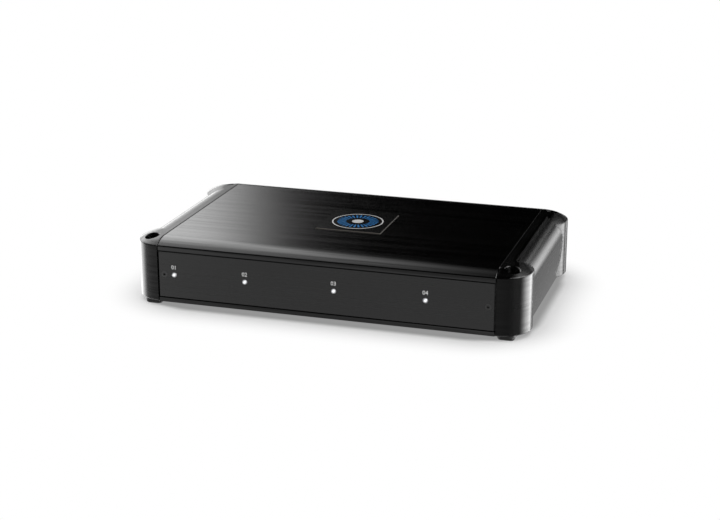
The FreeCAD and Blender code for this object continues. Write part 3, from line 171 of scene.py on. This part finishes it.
# The floor: matt paper that takes the case's shadow, its colour darkened near the case
# by a painted contact shadow, and pure white a little way out. How far out is measured
# from a core inside the case's outline, which rounds the corners.
bm = bmesh.new()
bmesh.ops.create_grid(bm, x_segments=1, y_segments=1, size=8)
floor = bpy.data.objects.new("floor", bpy.data.meshes.new("floor"))
bm.to_mesh(floor.data)
bm.free()
bpy.context.collection.objects.link(floor)
paper = bpy.data.materials.new("white_paper")
paper.use_nodes = True
tree = paper.node_tree
tree.nodes.clear()
path = add_node(tree, "ShaderNodeLightPath")
seen = work(tree, "ADD", path.outputs["Is Camera Ray"], path.outputs["Is Glossy Ray"])
seen = work(tree, "ADD", seen, path.outputs["Is Transmission Ray"], clamp=True)
case_edge = 0.055
core = (cad_box[1].x - case_edge - 0.001, cad_box[1].y - case_edge, 0)
spot = add_node(tree, "ShaderNodeTexCoord").outputs["Object"]
spot = add_node(tree, "ShaderNodeVectorMath", {"operation": "ABSOLUTE"}, n0=spot)
spot = add_node(tree, "ShaderNodeVectorMath", {"operation": "SUBTRACT"},
                n0=spot.outputs[0], n1=core)
spot = add_node(tree, "ShaderNodeVectorMath", {"operation": "MAXIMUM"},
                n0=spot.outputs[0], n1=(0, 0, 0))
from_core = add_node(tree, "ShaderNodeVectorMath", {"operation": "LENGTH"},
                     n0=spot.outputs[0]).outputs["Value"]
# Painted shadow: the paper's colour goes to black under the case and lightens a few
# millimetres out
painted_contact_shadow = ramp(tree, from_core, case_edge - 0.003, case_edge + 0.007)
far = ramp(tree, from_core, case_edge, case_edge + 0.045)
grey = work(tree, "MULTIPLY_ADD", path.outputs["Is Camera Ray"], -0.18, 0.86)
matt = add_node(tree, "ShaderNodeBsdfDiffuse", Color=work(tree, "MULTIPLY", grey, painted_contact_shadow))
lift = add_node(tree, "ShaderNodeEmission",
                Strength=work(tree, "MULTIPLY", path.outputs["Is Camera Ray"], 0.3))
shaded = add_node(tree, "ShaderNodeAddShader", n0=matt.outputs[0], n1=lift.outputs[0])
pure_white = add_node(tree, "ShaderNodeEmission", Strength=1)
surface = add_node(tree, "ShaderNodeMixShader", Fac=work(tree, "MULTIPLY", seen, far),
                   n1=shaded.outputs[0], n2=pure_white.outputs[0])
add_node(tree, "ShaderNodeOutputMaterial", Surface=surface.outputs[0])
floor.data.materials.append(paper)
floor.visible_glossy = False

# The soft lamp overhead, which gives the shadow
overhead_size = 2.6
overhead_radiance = 1.25
overhead_light = bpy.data.lights.new("overhead", "AREA")
overhead_light.size = overhead_size
overhead_light.energy = overhead_radiance * math.pi * overhead_size ** 2
overhead = bpy.data.objects.new("overhead", overhead_light)
overhead.matrix_world = Matrix.Translation((-0.2, -0.1, 1.5))
overhead.visible_glossy = False
bpy.context.collection.objects.link(overhead)

# The light panel beside the right end: an upright sheet, fading out towards its edges
side_height, side_depth = 0.8, 0.9
side_radiance = 14
bm = bmesh.new()
upright = (Matrix.Rotation(math.pi / 2, 4, "Y")
           @ Matrix.Diagonal((side_height, side_depth, 1, 1)))
bmesh.ops.create_grid(bm, x_segments=1, y_segments=1, size=0.5,
                      matrix=Matrix.Translation((0.45, 0.15, -0.1)) @ upright)
side_box = bpy.data.objects.new("side_box", bpy.data.meshes.new("side_box"))
bm.to_mesh(side_box.data)
bm.free()
bpy.context.collection.objects.link(side_box)
side_box.visible_camera = side_box.visible_diffuse = False
side_box.visible_transmission = side_box.visible_shadow = False
light_sheet = bpy.data.materials.new("side_box")
light_sheet.use_nodes = True
tree = light_sheet.node_tree
tree.nodes.clear()
place = add_node(tree, "ShaderNodeSeparateXYZ",
                 Vector=add_node(tree, "ShaderNodeTexCoord").outputs["Object"])
shine = work(tree, "MULTIPLY", window(tree, place.outputs["Y"], -0.14, 0.04, 0.22, 0.43),
             window(tree, place.outputs["Z"], -0.28, -0.08, 0.04, 0.26))
path = add_node(tree, "ShaderNodeLightPath")
shine = work(tree, "MULTIPLY", shine,
             work(tree, "LESS_THAN", path.outputs["Diffuse Depth"], 1))
light = add_node(tree, "ShaderNodeEmission",
                 Strength=work(tree, "MULTIPLY", shine, side_radiance))
clear = add_node(tree, "ShaderNodeBsdfTransparent")
surface = add_node(tree, "ShaderNodeAddShader", n0=light.outputs[0], n1=clear.outputs[0])
add_node(tree, "ShaderNodeOutputMaterial", Surface=surface.outputs[0])
side_box.data.materials.append(light_sheet)


# ---------------------------------------------------------------- chassis
# Extruded aluminium shell, brushed along its length and anodised black. The dyed skin is
# a clear hard layer over black, so it shines like dark glass rather than bare metal.

def new_group(name, inputs, outputs):
    """An empty node group with number inputs and number outputs."""
    group = bpy.data.node_groups.new(name, "ShaderNodeTree")
    for label, value in inputs.items():
        socket = group.interface.new_socket(label, in_out="INPUT",
                                            socket_type="NodeSocketFloat")
        socket.default_value = value
    for label in outputs:
        group.interface.new_socket(label, in_out="OUTPUT", socket_type="NodeSocketFloat")
    return group, group.nodes.new("NodeGroupInput"), group.nodes.new("NodeGroupOutput")


# Brushing: fine scratches, drawn out by giving each axis its own number of marks a metre
brushing, given, result = new_group("brushing", {"X": 30, "Y": 1500, "Z": 1500},
                                    ("Height", "Streak"))
scale = add_node(brushing, "ShaderNodeCombineXYZ", X=given.outputs["X"],
                 Y=given.outputs["Y"], Z=given.outputs["Z"])
spot = add_node(brushing, "ShaderNodeVectorMath", {"operation": "MULTIPLY"},
                n0=add_node(brushing, "ShaderNodeTexCoord").outputs["Object"],
                n1=scale.outputs[0])
fine = add_node(brushing, "ShaderNodeTexNoise", Vector=spot.outputs[0], Scale=1, Detail=3,
                Roughness=0.7)
wide_spot = add_node(brushing, "ShaderNodeVectorMath", {"operation": "SCALE"},
                     n0=spot.outputs[0], Scale=0.23)
broad = add_node(brushing, "ShaderNodeTexNoise", Vector=wide_spot.outputs[0], Scale=1,
                 Detail=1)
height = work(brushing, "MULTIPLY_ADD", fine.outputs["Fac"], 0.35,
              work(brushing, "MULTIPLY", broad.outputs["Fac"], 0.65))
brushing.links.new(height, result.inputs["Height"])
brushing.links.new(ramp(brushing, height, 0.4, 0.6), result.inputs["Streak"])

# Handling: faint cloudy smears with a little dust in them
handling, given, result = new_group("handling", {"Amount": 0.5}, ("Smear", "Dust"))
spot = add_node(handling, "ShaderNodeTexCoord").outputs["Object"]
cloud = add_node(handling, "ShaderNodeTexNoise", Vector=spot, Scale=24, Detail=4,
                 Roughness=0.6, Distortion=0.6)
smear = work(handling, "MULTIPLY", ramp(handling, cloud.outputs["Fac"], 0.42, 0.7),
             given.outputs["Amount"])
speck = add_node(handling, "ShaderNodeTexNoise", Vector=spot, Scale=2600, Detail=1)
dust = work(handling, "MULTIPLY", ramp(handling, speck.outputs["Fac"], 0.68, 0.74), smear)
handling.links.new(smear, result.inputs["Smear"])
handling.links.new(dust, result.inputs["Dust"])


def place_group(tree, group, **values):
    """A node group in a material, with its own values."""
    node = add_node(tree, "ShaderNodeGroup", {"node_tree": group})
    for key, value in values.items():
        node.inputs[key].default_value = value
    return node


def mixed(tree, amount, first, second):
    """A colour between two others."""
    node = add_node(tree, "ShaderNodeMix", {"data_type": "RGBA"}, n0=amount)
    for socket, value in ((node.inputs[6], first), (node.inputs[7], second)):
        if isinstance(value, bpy.types.NodeSocket):
            tree.links.new(value, socket)
        else:
            socket.default_value = (*value, 1)
    return node.outputs[2]


def between(tree, amount, low, high):
    """A number between low and high."""
    return work(tree, "MULTIPLY_ADD", amount, high - low, low)


def new_material(name, **settings):
    """A material, its node tree and its main shader with plain settings."""
    material = bpy.data.materials.new(name)
    material.use_nodes = True
    shader = material.node_tree.nodes["Principled BSDF"]
    for key, value in settings.items():
        shader.inputs[key.replace("_", " ")].default_value = value
    return material, material.node_tree, shader


def dress(material, *names):
    """Gives the named parts of the frame this material."""
    for name in names:
        for slot in nodes[name].material_slots:
            slot.material = material


def cut_marks(tree, shader, lines, depth):
    """Brush marks in the surface, which draw its gloss out up and down."""
    bump = add_node(tree, "ShaderNodeBump", Height=lines.outputs["Height"], Strength=1,
                    Distance=depth)
    tree.links.new(bump.outputs["Normal"], shader.inputs["Normal"])
    upright = add_node(tree, "ShaderNodeCombineXYZ", Y=0.25, Z=1)
    tree.links.new(upright.outputs[0], shader.inputs["Tangent"])


def anodised(name, marks, roughness, depth, dye, bare, **settings):
    """Black anodised aluminium: marks are the brush marks a metre along each axis.

    roughness and dye run from clear metal to the middle of a mark.
    """
    material, tree, shader = new_material(name, Anisotropic=1, **settings)
    lines = place_group(tree, brushing, X=marks[0], Y=marks[1], Z=marks[2])
    hands = place_group(tree, handling, Amount=0.5)
    tint = mixed(tree, lines.outputs["Streak"], (dye[0],) * 3, (dye[1],) * 3)
    tint = mixed(tree, hands.outputs["Dust"], tint, (0.05, 0.05, 0.05))
    tree.links.new(tint, shader.inputs["Base Color"])
    tree.links.new(work(tree, "MULTIPLY", lines.outputs["Streak"], bare),
                   shader.inputs["Metallic"])
    rough = between(tree, lines.outputs["Streak"], *roughness)
    rough = work(tree, "MULTIPLY_ADD", hands.outputs["Smear"], 0.02, rough)
    tree.links.new(rough, shader.inputs["Roughness"])
    cut_marks(tree, shader, lines, depth)
    return material


dress(anodised("anodised_shell", marks=(14, 1400, 1400), roughness=(0.11, 0.17),
               depth=0.00004, dye=(0.0004, 0.002), bare=0.45, IOR=1.5),
      "chassis")


# ---------------------------------------------------------------- end caps
# Cast aluminium ends with a domed post at each corner, turned and anodised to match;
# their machining lines run level round the posts.

dress(anodised("anodised_caps", marks=(40, 40, 3600), roughness=(0.23, 0.27),
               depth=0.00002, dye=(0.0006, 0.003), bare=0.3, IOR=1.3),
      "end_cap_left", "end_cap_right")


# ---------------------------------------------------------------- feet
# Square feet of soft black rubber under the corner posts, each with a hole right through
# for the screw that fixes the case down.

def moulded(name, colour, roughness, grain, depth, **settings):
    """A moulded or coated surface: fine grain, slight mottling and some rubbed dust."""
    material, tree, shader = new_material(name, **settings)
    spot = add_node(tree, "ShaderNodeTexCoord").outputs["Object"]
    pits = add_node(tree, "ShaderNodeTexNoise", Vector=spot, Scale=grain, Detail=2)
    mottle = add_node(tree, "ShaderNodeTexNoise", Vector=spot, Scale=grain / 14, Detail=2)
    hands = place_group(tree, handling, Amount=0.7)
    pale = [min(1, c * 1.35 + 0.01) for c in colour]
    tint = mixed(tree, ramp(tree, mottle.outputs["Fac"], 0.35, 0.75), colour, pale)
    tint = mixed(tree, hands.outputs["Dust"], tint, [c * 0.6 + 0.25 for c in pale])
    tree.links.new(tint, shader.inputs["Base Color"])
    rough = between(tree, pits.outputs["Fac"], roughness - 0.08, roughness + 0.08)
    tree.links.new(rough, shader.inputs["Roughness"])
    bump = add_node(tree, "ShaderNodeBump", Height=pits.outputs["Fac"], Strength=0.6,
                    Distance=depth)
    tree.links.new(bump.outputs["Normal"], shader.inputs["Normal"])
    return material


dress(moulded("foot_rubber", (0.012, 0.012, 0.012), 0.75, 2200, 0.00004),
      "foot_front_left", "foot_front_right", "foot_rear_left", "foot_rear_right")


# ---------------------------------------------------------------- bottom plate and screws
# Folded steel plate with a black powder coat, held by black countersunk screws with a
# hexagon socket. The same screws hold the end caps and both panels.

dress(moulded("powder_coat", (0.014, 0.014, 0.015), 0.5, 1500, 0.00005), "bottom_plate")


def link_part(name, mesh):
    """A piece of the object in the scene, fixed to the case."""
    piece = bpy.data.objects.new(name, mesh)
    bpy.context.collection.objects.link(piece)
    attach(piece, "case")
    return piece


def hexagon(size):
    """The outline of a hexagon socket, as its reach at an angle."""
    return lambda angle: size * math.cos(math.pi / 6) / math.cos(
        angle % (math.pi / 3) - math.pi / 6)


def screwdriver_slot(width, length):
    """The outline of a screwdriver slot, as its reach at an angle."""
    return lambda angle: min(width / 2 / max(abs(math.cos(angle)), 0.001),
                             length / 2 / max(abs(math.sin(angle)), 0.001))


def add_screw(bm, head, steps, outline, depth):
    """Adds a screw, its face at the origin and its shank down; steps are (radius, drop)."""
    rim = bmesh.ops.create_circle(bm, cap_ends=True, segments=24, radius=head)["verts"]
    face = rim[0].link_faces[0]
    if face.normal.z < 0:
        face.normal_flip()
    bmesh.ops.inset_individual(bm, faces=[face], thickness=head * 0.5)
    outer = [edge for edge in bm.edges if edge.is_boundary]
    for v in face.verts:
        v.co *= outline(math.atan2(v.co.y, v.co.x)) / v.co.xy.length
    well = bmesh.ops.extrude_discrete_faces(bm, faces=[face])["faces"][0]
    bmesh.ops.translate(bm, verts=well.verts, vec=(0, 0, -depth))
    for radius, drop in steps:
        made = bmesh.ops.extrude_edge_only(bm, edges=outer)["geom"]
        verts = [g for g in made if isinstance(g, bmesh.types.BMVert)]
        outer = [g for g in made if isinstance(g, bmesh.types.BMEdge)]
        now = verts[0].co.xy.length
        bmesh.ops.scale(bm, verts=verts, vec=(radius / now, radius / now, 1))
        bmesh.ops.translate(bm, verts=verts, vec=(0, 0, -drop))
    bmesh.ops.contextual_create(bm, geom=outer)
    bmesh.ops.recalc_face_normals(bm, faces=bm.faces)


def evenly(low, high, count):
    """So many places from low to high, or the middle for one."""
    if count == 1:
        return [(low + high) / 2]
    return [low + (high - low) * i / (count - 1) for i in range(count)]


def screws(name, node, columns, rows, turn, head, steps, outline, depth, material, slot):
    """Screws in columns and rows that fill a frame node's box, in place of that node."""
    low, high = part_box(node)
    low, high = low + Vector((head,) * 3), high - Vector((head,) * 3)
    outward = turn @ Vector((0, 0, 1))
    bm = bmesh.new()
    for x in evenly(low.x, high.x, columns):
        if outward.z < -0.5:
            places = [(x, y, low.z - head) for y in evenly(low.y, high.y, rows)]
        else:
            y = low.y - head if outward.y < 0 else high.y + head
            places = [(x, y, z) for z in evenly(low.z, high.z, rows)]
        for place in places:
            one = bmesh.new()
            add_screw(one, head, steps, outline, depth)
            bmesh.ops.transform(one, matrix=Matrix.Translation(place) @ turn,
                                verts=one.verts)
            part = bpy.data.meshes.new("part")
            one.to_mesh(part)
            bm.from_mesh(part)
            bpy.data.meshes.remove(part)
            one.free()
    mesh = bpy.data.meshes.new(name)
    bm.to_mesh(mesh)
    bm.free()
    mesh.materials.append(material)
    piece = link_part(name, mesh)
    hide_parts(node)


facing_down = Matrix.Rotation(math.pi, 4, "X")
facing_front = Matrix.Rotation(math.pi / 2, 4, "X")
facing_rear = Matrix.Rotation(math.pi, 4, "Z") @ facing_front
case_screw = {
    "head": 0.0029,
    "steps": ((0.0014, 0.0015), (0.0014, 0.0034)),
    "outline": hexagon(0.0012),
    "depth": 0.0014,
    "material": moulded("black_oxide", (0.005, 0.005, 0.005), 0.3, 1800, 0.00001, IOR=1.5),
    "slot": "black_screws"}
screws("plate_fixings", "bottom_plate_screws", 3, 2, facing_down, **case_screw)
screws("cap_fixings", "end_cap_screws", 2, 2, facing_down, **case_screw)


# ---------------------------------------------------------------- front panel and lamps
# Brushed and anodised plate let into the front of the shell, two screws, four clear
# indicator lamps, each lens with a painted highlight that it emits, and plain printed
# numbers.

panel_finish = {"marks": (14, 1500, 1500), "roughness": (0.16, 0.24), "depth": 0.00003,
                "dye": (0.001, 0.02), "bare": 0.25, "IOR": 1.5}
dress(anodised("anodised_panel", **panel_finish), "front_panel")
screws("front_fixings", "front_panel_screws", 2, 1, facing_front, **case_screw)


def lamp_lens(name, centre):
    """Clear lens with a painted highlight: a white spot that it emits a little above its
    middle.
    """
    lens, tree, shader = new_material(name, IOR=1.5, Coat_Weight=0.7, Coat_Roughness=0.04,
                                      Emission_Strength=1)
    dark = (0.03, 0.03, 0.03)
    highlight_full, highlight_end = 0.0006, 0.0019
    body_full, body_end = 0.0022, 0.0033
    brightest = centre + Vector((0.0005, 0, 0.0006))
    place = add_node(tree, "ShaderNodeMapping", Location=-brightest,
                     Vector=add_node(tree, "ShaderNodeTexCoord").outputs["Object"])
    flat = add_node(tree, "ShaderNodeVectorMath", {"operation": "MULTIPLY"},
                    n0=place.outputs[0], n1=(1, 0, 1))
    out = add_node(tree, "ShaderNodeVectorMath", {"operation": "LENGTH"}, n0=flat.outputs[0])
    out = out.outputs["Value"]
    haze = add_node(tree, "ShaderNodeTexNoise", Vector=place.outputs[0], Scale=900, Detail=2)
    body = mixed(tree, haze.outputs["Fac"], (0.25, 0.25, 0.27), (0.4, 0.4, 0.42))
    # Painted shade: the lens's grey body goes dark towards its rim, round the painted
    # highlight
    tree.links.new(mixed(tree, ramp(tree, out, body_end, body_full), dark, body),
                   shader.inputs["Base Color"])
    # Painted highlight: the lens emits white round that spot and a dim grey elsewhere
    painted_highlight = mixed(tree, ramp(tree, out, highlight_end, highlight_full), dark, (0.93, 0.95, 0.97))
    tree.links.new(painted_highlight, shader.inputs["Emission Color"])
    tree.links.new(between(tree, haze.outputs["Fac"], 0.05, 0.16),
                   shader.inputs["Roughness"])
    return lens


def middle(node):
    """The middle of a frame node's box."""
    low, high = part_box(node)
    return (low + high) / 2


lamps = ("power_lamp", "clip_lamp_1", "clip_lamp_2", "clip_lamp_3")
for node in lamps:
    dress(lamp_lens(f"{node}_lens", middle(node)), node)

ink, tree, shader = new_material("white_ink")
spot = add_node(tree, "ShaderNodeTexCoord").outputs["Object"]
cover = add_node(tree, "ShaderNodeTexNoise", Vector=spot, Scale=5000, Detail=2)
tree.links.new(mixed(tree, cover.outputs["Fac"], (0.72, 0.72, 0.72), (0.88, 0.88, 0.87)),
               shader.inputs["Base Color"])
tree.links.new(between(tree, cover.outputs["Fac"], 0.45, 0.7), shader.inputs["Roughness"])
ink_lift = 0.00002


def print_numbers(name, figures, height, turn):
    """Printed figures: a list of (figure, place), each centred on its place."""
    height_of_em = 0.72
    bm = bmesh.new()
    for figure, place in figures:
        curve = bpy.data.curves.new("figure", "FONT")
        curve.body = figure
        curve.size = height / height_of_em
        curve.align_x, curve.align_y = "CENTER", "CENTER"
        curve.extrude = ink_lift
        curve.offset = height / 40
        curve.resolution_u = 3
        letter = bpy.data.objects.new("figure", curve)
        mesh = bpy.data.meshes.new_from_object(letter)
        mesh.transform(Matrix.Translation(place) @ turn)
        bm.from_mesh(mesh)
        bpy.data.objects.remove(letter)
        bpy.data.meshes.remove(mesh)
    mesh = bpy.data.meshes.new(name)
    bm.to_mesh(mesh)
    bm.free()
    mesh.materials.append(ink)
    link_part(name, mesh)


front_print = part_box("front_panel")[0].y - ink_lift
above_lamp = 0.0068
print_numbers("front_numbers",
              [(f"0{i}", (middle(node).x, front_print, middle(node).z + above_lamp))
               for i, node in enumerate(lamps, 1)], 0.0036, facing_front)


# ---------------------------------------------------------------- badge
# Small black anodised plate in the top with bright cut bevels. Its printed mark is a
# plain one: a ring of blue strokes inside a thin white circle.

badge_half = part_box("badge_plate")[1].x
stroke_count, stroke_half_share = 28, 0.22
stroke_start, stroke_end = 0.0105, 0.0185
disc_radius = 0.0052
circle_radius, circle_half_width = 0.0225, 0.0006
badge, tree, shader = new_material("badge_plate", IOR=1.5, Anisotropic=1)
spot = add_node(tree, "ShaderNodeTexCoord").outputs["Object"]
part = add_node(tree, "ShaderNodeSeparateXYZ", Vector=spot)
across, along = part.outputs["X"], part.outputs["Y"]
reach = work(tree, "SQRT", work(tree, "ADD", work(tree, "MULTIPLY", across, across),
                                work(tree, "MULTIPLY", along, along)))
turns = work(tree, "MULTIPLY", work(tree, "ARCTAN2", along, across), stroke_count / math.tau)
from_middle = work(tree, "ABSOLUTE", work(tree, "SUBTRACT", work(tree, "FRACT", turns), 0.5))
stroke = work(tree, "LESS_THAN", from_middle, stroke_half_share)
stroke = work(tree, "MULTIPLY", stroke, work(tree, "GREATER_THAN", reach, stroke_start))
stroke = work(tree, "MULTIPLY", stroke, work(tree, "LESS_THAN", reach, stroke_end))
from_circle = work(tree, "ABSOLUTE", work(tree, "SUBTRACT", reach, circle_radius))
circle = work(tree, "LESS_THAN", from_circle, circle_half_width)
white = work(tree, "MAXIMUM", circle, work(tree, "LESS_THAN", reach, disc_radius))
edge = work(tree, "MAXIMUM", work(tree, "ABSOLUTE", across), work(tree, "ABSOLUTE", along))
bevel = ramp(tree, edge, badge_half - 0.00065, badge_half - 0.0005)
lines = place_group(tree, brushing, X=25, Y=1500, Z=1500)
tint = mixed(tree, lines.outputs["Streak"], (0.0004, 0.0004, 0.0004), (0.002, 0.002, 0.002))
tint = mixed(tree, stroke, tint, (0.03, 0.17, 0.42))
tint = mixed(tree, white, tint, (0.62, 0.62, 0.62))
tint = mixed(tree, bevel, tint, (0.065, 0.058, 0.05))
tree.links.new(tint, shader.inputs["Base Color"])
rough = between(tree, lines.outputs["Height"], 0.12, 0.18)
rough = work(tree, "MULTIPLY_ADD", bevel, 0.2, rough)
tree.links.new(rough, shader.inputs["Roughness"])
cut_marks(tree, shader, lines, 0.00004)
dress(badge, "badge_plate")


# ---------------------------------------------------------------- rear panel
# Brushed and anodised plate like the front one, with openings for the sockets, controls
# and terminals, four screws, a printed scale at each control and plain numbers.

dress(anodised("anodised_rear", **panel_finish), "rear_panel")
screws("rear_fixings", "rear_panel_screws", 2, 2, facing_rear, **case_screw)


def print_strokes(name, strokes, width):
    """Printed strokes on the rear panel: a list of (place, length, angle from upright)."""
    bm = bmesh.new()
    for place, length, angle in strokes:
        size = Matrix.Diagonal((width, 2 * ink_lift, length, 1))
        bmesh.ops.create_cube(bm, size=1, matrix=Matrix.Translation(place)
                              @ Matrix.Rotation(angle, 4, "Y") @ size)
    mesh = bpy.data.meshes.new(name)
    bm.to_mesh(mesh)
    bm.free()
    mesh.materials.append(ink)
    link_part(name, mesh)


shafts = [f"{kind}_shaft_{i}" for kind in ("level", "filter") for i in (1, 2, 3)]
sliders = ["mode_slider_1", "mode_slider_2", "mode_slider_3"]
turn_limit = math.radians(135)
slide_limit = 0.002
rear_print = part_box("rear_panel")[1].y + ink_lift
print_gap = 0.0028
scale_radius = 0.0047
scale_marks = []
for shaft in shafts:
    for angle in evenly(-turn_limit, turn_limit, 11):
        x = middle(shaft).x + scale_radius * math.sin(angle)
        z = middle(shaft).z + scale_radius * math.cos(angle)
        scale_marks.append(((x, rear_print, z), 0.0009, angle))
for slider in sliders:
    for x in evenly(middle(slider).x - slide_limit, middle(slider).x + slide_limit, 3):
        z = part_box(slider)[1].z + print_gap
        scale_marks.append(((x, rear_print, z), 0.0014, 0))
print_strokes("scale_marks", scale_marks, 0.0003)

figure_height = 0.0026
row_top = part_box("rear_panel")[1].z - 0.0037
shell_radius = 0.0047
speaker_head, power_head = 0.0019, 0.0034
low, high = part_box("line_socket_shells")
columns = evenly(high.x - shell_radius, low.x + shell_radius, 3)
columns += [middle(slider).x for slider in reversed(sliders)]
rear_figures = [(f"{i}", (x, rear_print, row_top)) for i, x in enumerate(columns, 1)]
for node, block, head, count in (
        ("speaker_screws", "speaker_terminal_block", speaker_head, 10),
        ("power_screws", "power_terminal_block", power_head, 3)):
    low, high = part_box(node)
    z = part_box(block)[1].z + print_gap
    rear_figures += [(f"{i}", (x, rear_print, z))
                     for i, x in enumerate(evenly(high.x - head, low.x + head, count), 1)]
print_numbers("rear_numbers", rear_figures, figure_height, facing_rear)


# ---------------------------------------------------------------- boards
# Green glass-fibre boards held by zinc-plated cylinder head screws. The lamp board stands
# on nylon spacers, and a short grey ribbon cable joins it to the main board.

dress(moulded("solder_resist", (0.012, 0.09, 0.035), 0.32, 900, 0.00002),
      "main_board", "input_board", "lamp_board")
dress(moulded("nylon", (0.72, 0.7, 0.64), 0.45, 1300, 0.00002), "lamp_board_spacers")
dress(moulded("ribbon", (0.3, 0.31, 0.33), 0.5, 1700, 0.00003), "lamp_cable")


def metal(name, colour, roughness, marks=(700, 700, 700)):
    """Plated or bare metal with fine tool marks and a little tarnish."""
    material, tree, shader = new_material(name, Metallic=1)
    lines = place_group(tree, brushing, X=marks[0], Y=marks[1], Z=marks[2])
    hands = place_group(tree, handling, Amount=0.8)
    dull = [c * 0.72 for c in colour]
    tree.links.new(mixed(tree, hands.outputs["Smear"], colour, dull),
                   shader.inputs["Base Color"])
    rough = between(tree, lines.outputs["Streak"], roughness, roughness + 0.16)
    tree.links.new(rough, shader.inputs["Roughness"])
    bump = add_node(tree, "ShaderNodeBump", Height=lines.outputs["Height"], Strength=0.5,
                    Distance=0.00001)
    tree.links.new(bump.outputs["Normal"], shader.inputs["Normal"])
    return material


zinc = metal("zinc", (0.62, 0.62, 0.6), 0.3)
dress(zinc, "board_screws", "lamp_board_screws")


# ---------------------------------------------------------------- line sockets
# Nickel-plated phono sockets in two rows in a moulded black block, the inserts red below
# and white above.

black_moulding = moulded("black_moulding", (0.014, 0.014, 0.014), 0.5, 1600, 0.00003)
dress(black_moulding, "line_socket_block")
dress(metal("nickel", (0.66, 0.63, 0.58), 0.16), "line_socket_shells")
dress(moulded("red_plastic", (0.42, 0.012, 0.01), 0.32, 1500, 0.00001),
      "line_socket_inserts_low")
dress(moulded("white_plastic", (0.72, 0.71, 0.67), 0.32, 1500, 0.00001),
      "line_socket_inserts_high")


# ---------------------------------------------------------------- controls
# Rotary controls in black housings, their grey nylon shafts slotted for a screwdriver,
# and slide switches in black frames with small sliders of the same nylon.

grey_nylon = {"colour": (0.16, 0.16, 0.165), "roughness": 0.4, "grain": 2000,
              "depth": 0.00002}
dress(black_moulding, "control_housings", "switch_frames")
dress(moulded("shaft_plastic", **grey_nylon), *shafts)
dress(moulded("slider_plastic", **grey_nylon), *sliders)


# ---------------------------------------------------------------- terminals
# Plated brass clamps in two black blocks, ten small ones under slotted screws and three
# large ones under screws with a hexagon socket. The screws are nickel-plated steel.

dress(black_moulding, "speaker_terminal_block", "power_terminal_block")
dress(metal("plated_brass", (0.62, 0.47, 0.22), 0.22), "speaker_clamps", "power_clamps")
nickel = metal("terminal_nickel", (0.6, 0.58, 0.54), 0.25)
screws("speaker_clamp_screws", "speaker_screws", 10, 1, facing_rear, head=speaker_head,
       steps=((speaker_head, 0.002), (0.001, 0), (0.001, 0.005)),
       outline=screwdriver_slot(0.0008, 0.003), depth=0.0016, material=nickel,
       slot="terminal_steel")
screws("power_clamp_screws", "power_screws", 3, 1, facing_rear, head=power_head,
       steps=((power_head, 0.002), (0.0017, 0), (0.0017, 0.005)),
       outline=hexagon(0.0018), depth=0.0017, material=nickel, slot="terminal_steel")


# ---------------------------------------------------------------- fuses
# Two blade fuses, zinc blades in green see-through bodies with their rating printed on,
# one above the other in a black socket.

dress(black_moulding, "fuse_socket")
dress(moulded("fuse_body", (0.04, 0.32, 0.07), 0.2, 1200, 0.00001,
              Transmission_Weight=0.3, IOR=1.5), "fuse_low", "fuse_high")
dress(metal("fuse_zinc", (0.68, 0.68, 0.67), 0.25), "fuse_blades")
print_numbers("fuse_numbers",
              [("30", (middle(fuse).x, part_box(fuse)[1].y + ink_lift, middle(fuse).z))
               for fuse in ("fuse_low", "fuse_high")], figure_height, facing_rear)


# ---------------------------------------------------------------- coils and capacitors
# The transformer under yellow tape, chokes wound with enamelled copper wire, and
# capacitors in blue shrunk sleeves, all soldered to the main board.

dress(moulded("winding_tape", (0.55, 0.4, 0.05), 0.4, 1000, 0.00005), "transformer")
dress(moulded("enamelled_wire", (0.32, 0.1, 0.03), 0.3, 1400, 0.0001), "output_chokes")
dress(moulded("sleeve", (0.01, 0.015, 0.07), 0.28, 1100, 0.00001), "reservoir_capacitors")


# ---------------------------------------------------------------- power transistors
# Moulded black transistors, pressed against a bare aluminium heat spreader by a bar of
# spring steel; the bar and the spreader are screwed down.

dress(zinc, "spreader_screws", "clamp_bar_screws")
dress(metal("bare_aluminium", (0.65, 0.65, 0.66), 0.3, (25, 900, 900)), "heat_spreader")
dress(moulded("transistor_body", (0.02, 0.02, 0.02), 0.45, 1500, 0.00003),
      "power_transistors")
dress(metal("spring_steel", (0.5, 0.5, 0.5), 0.28, (25, 900, 900)), "transistor_clamp_bar")
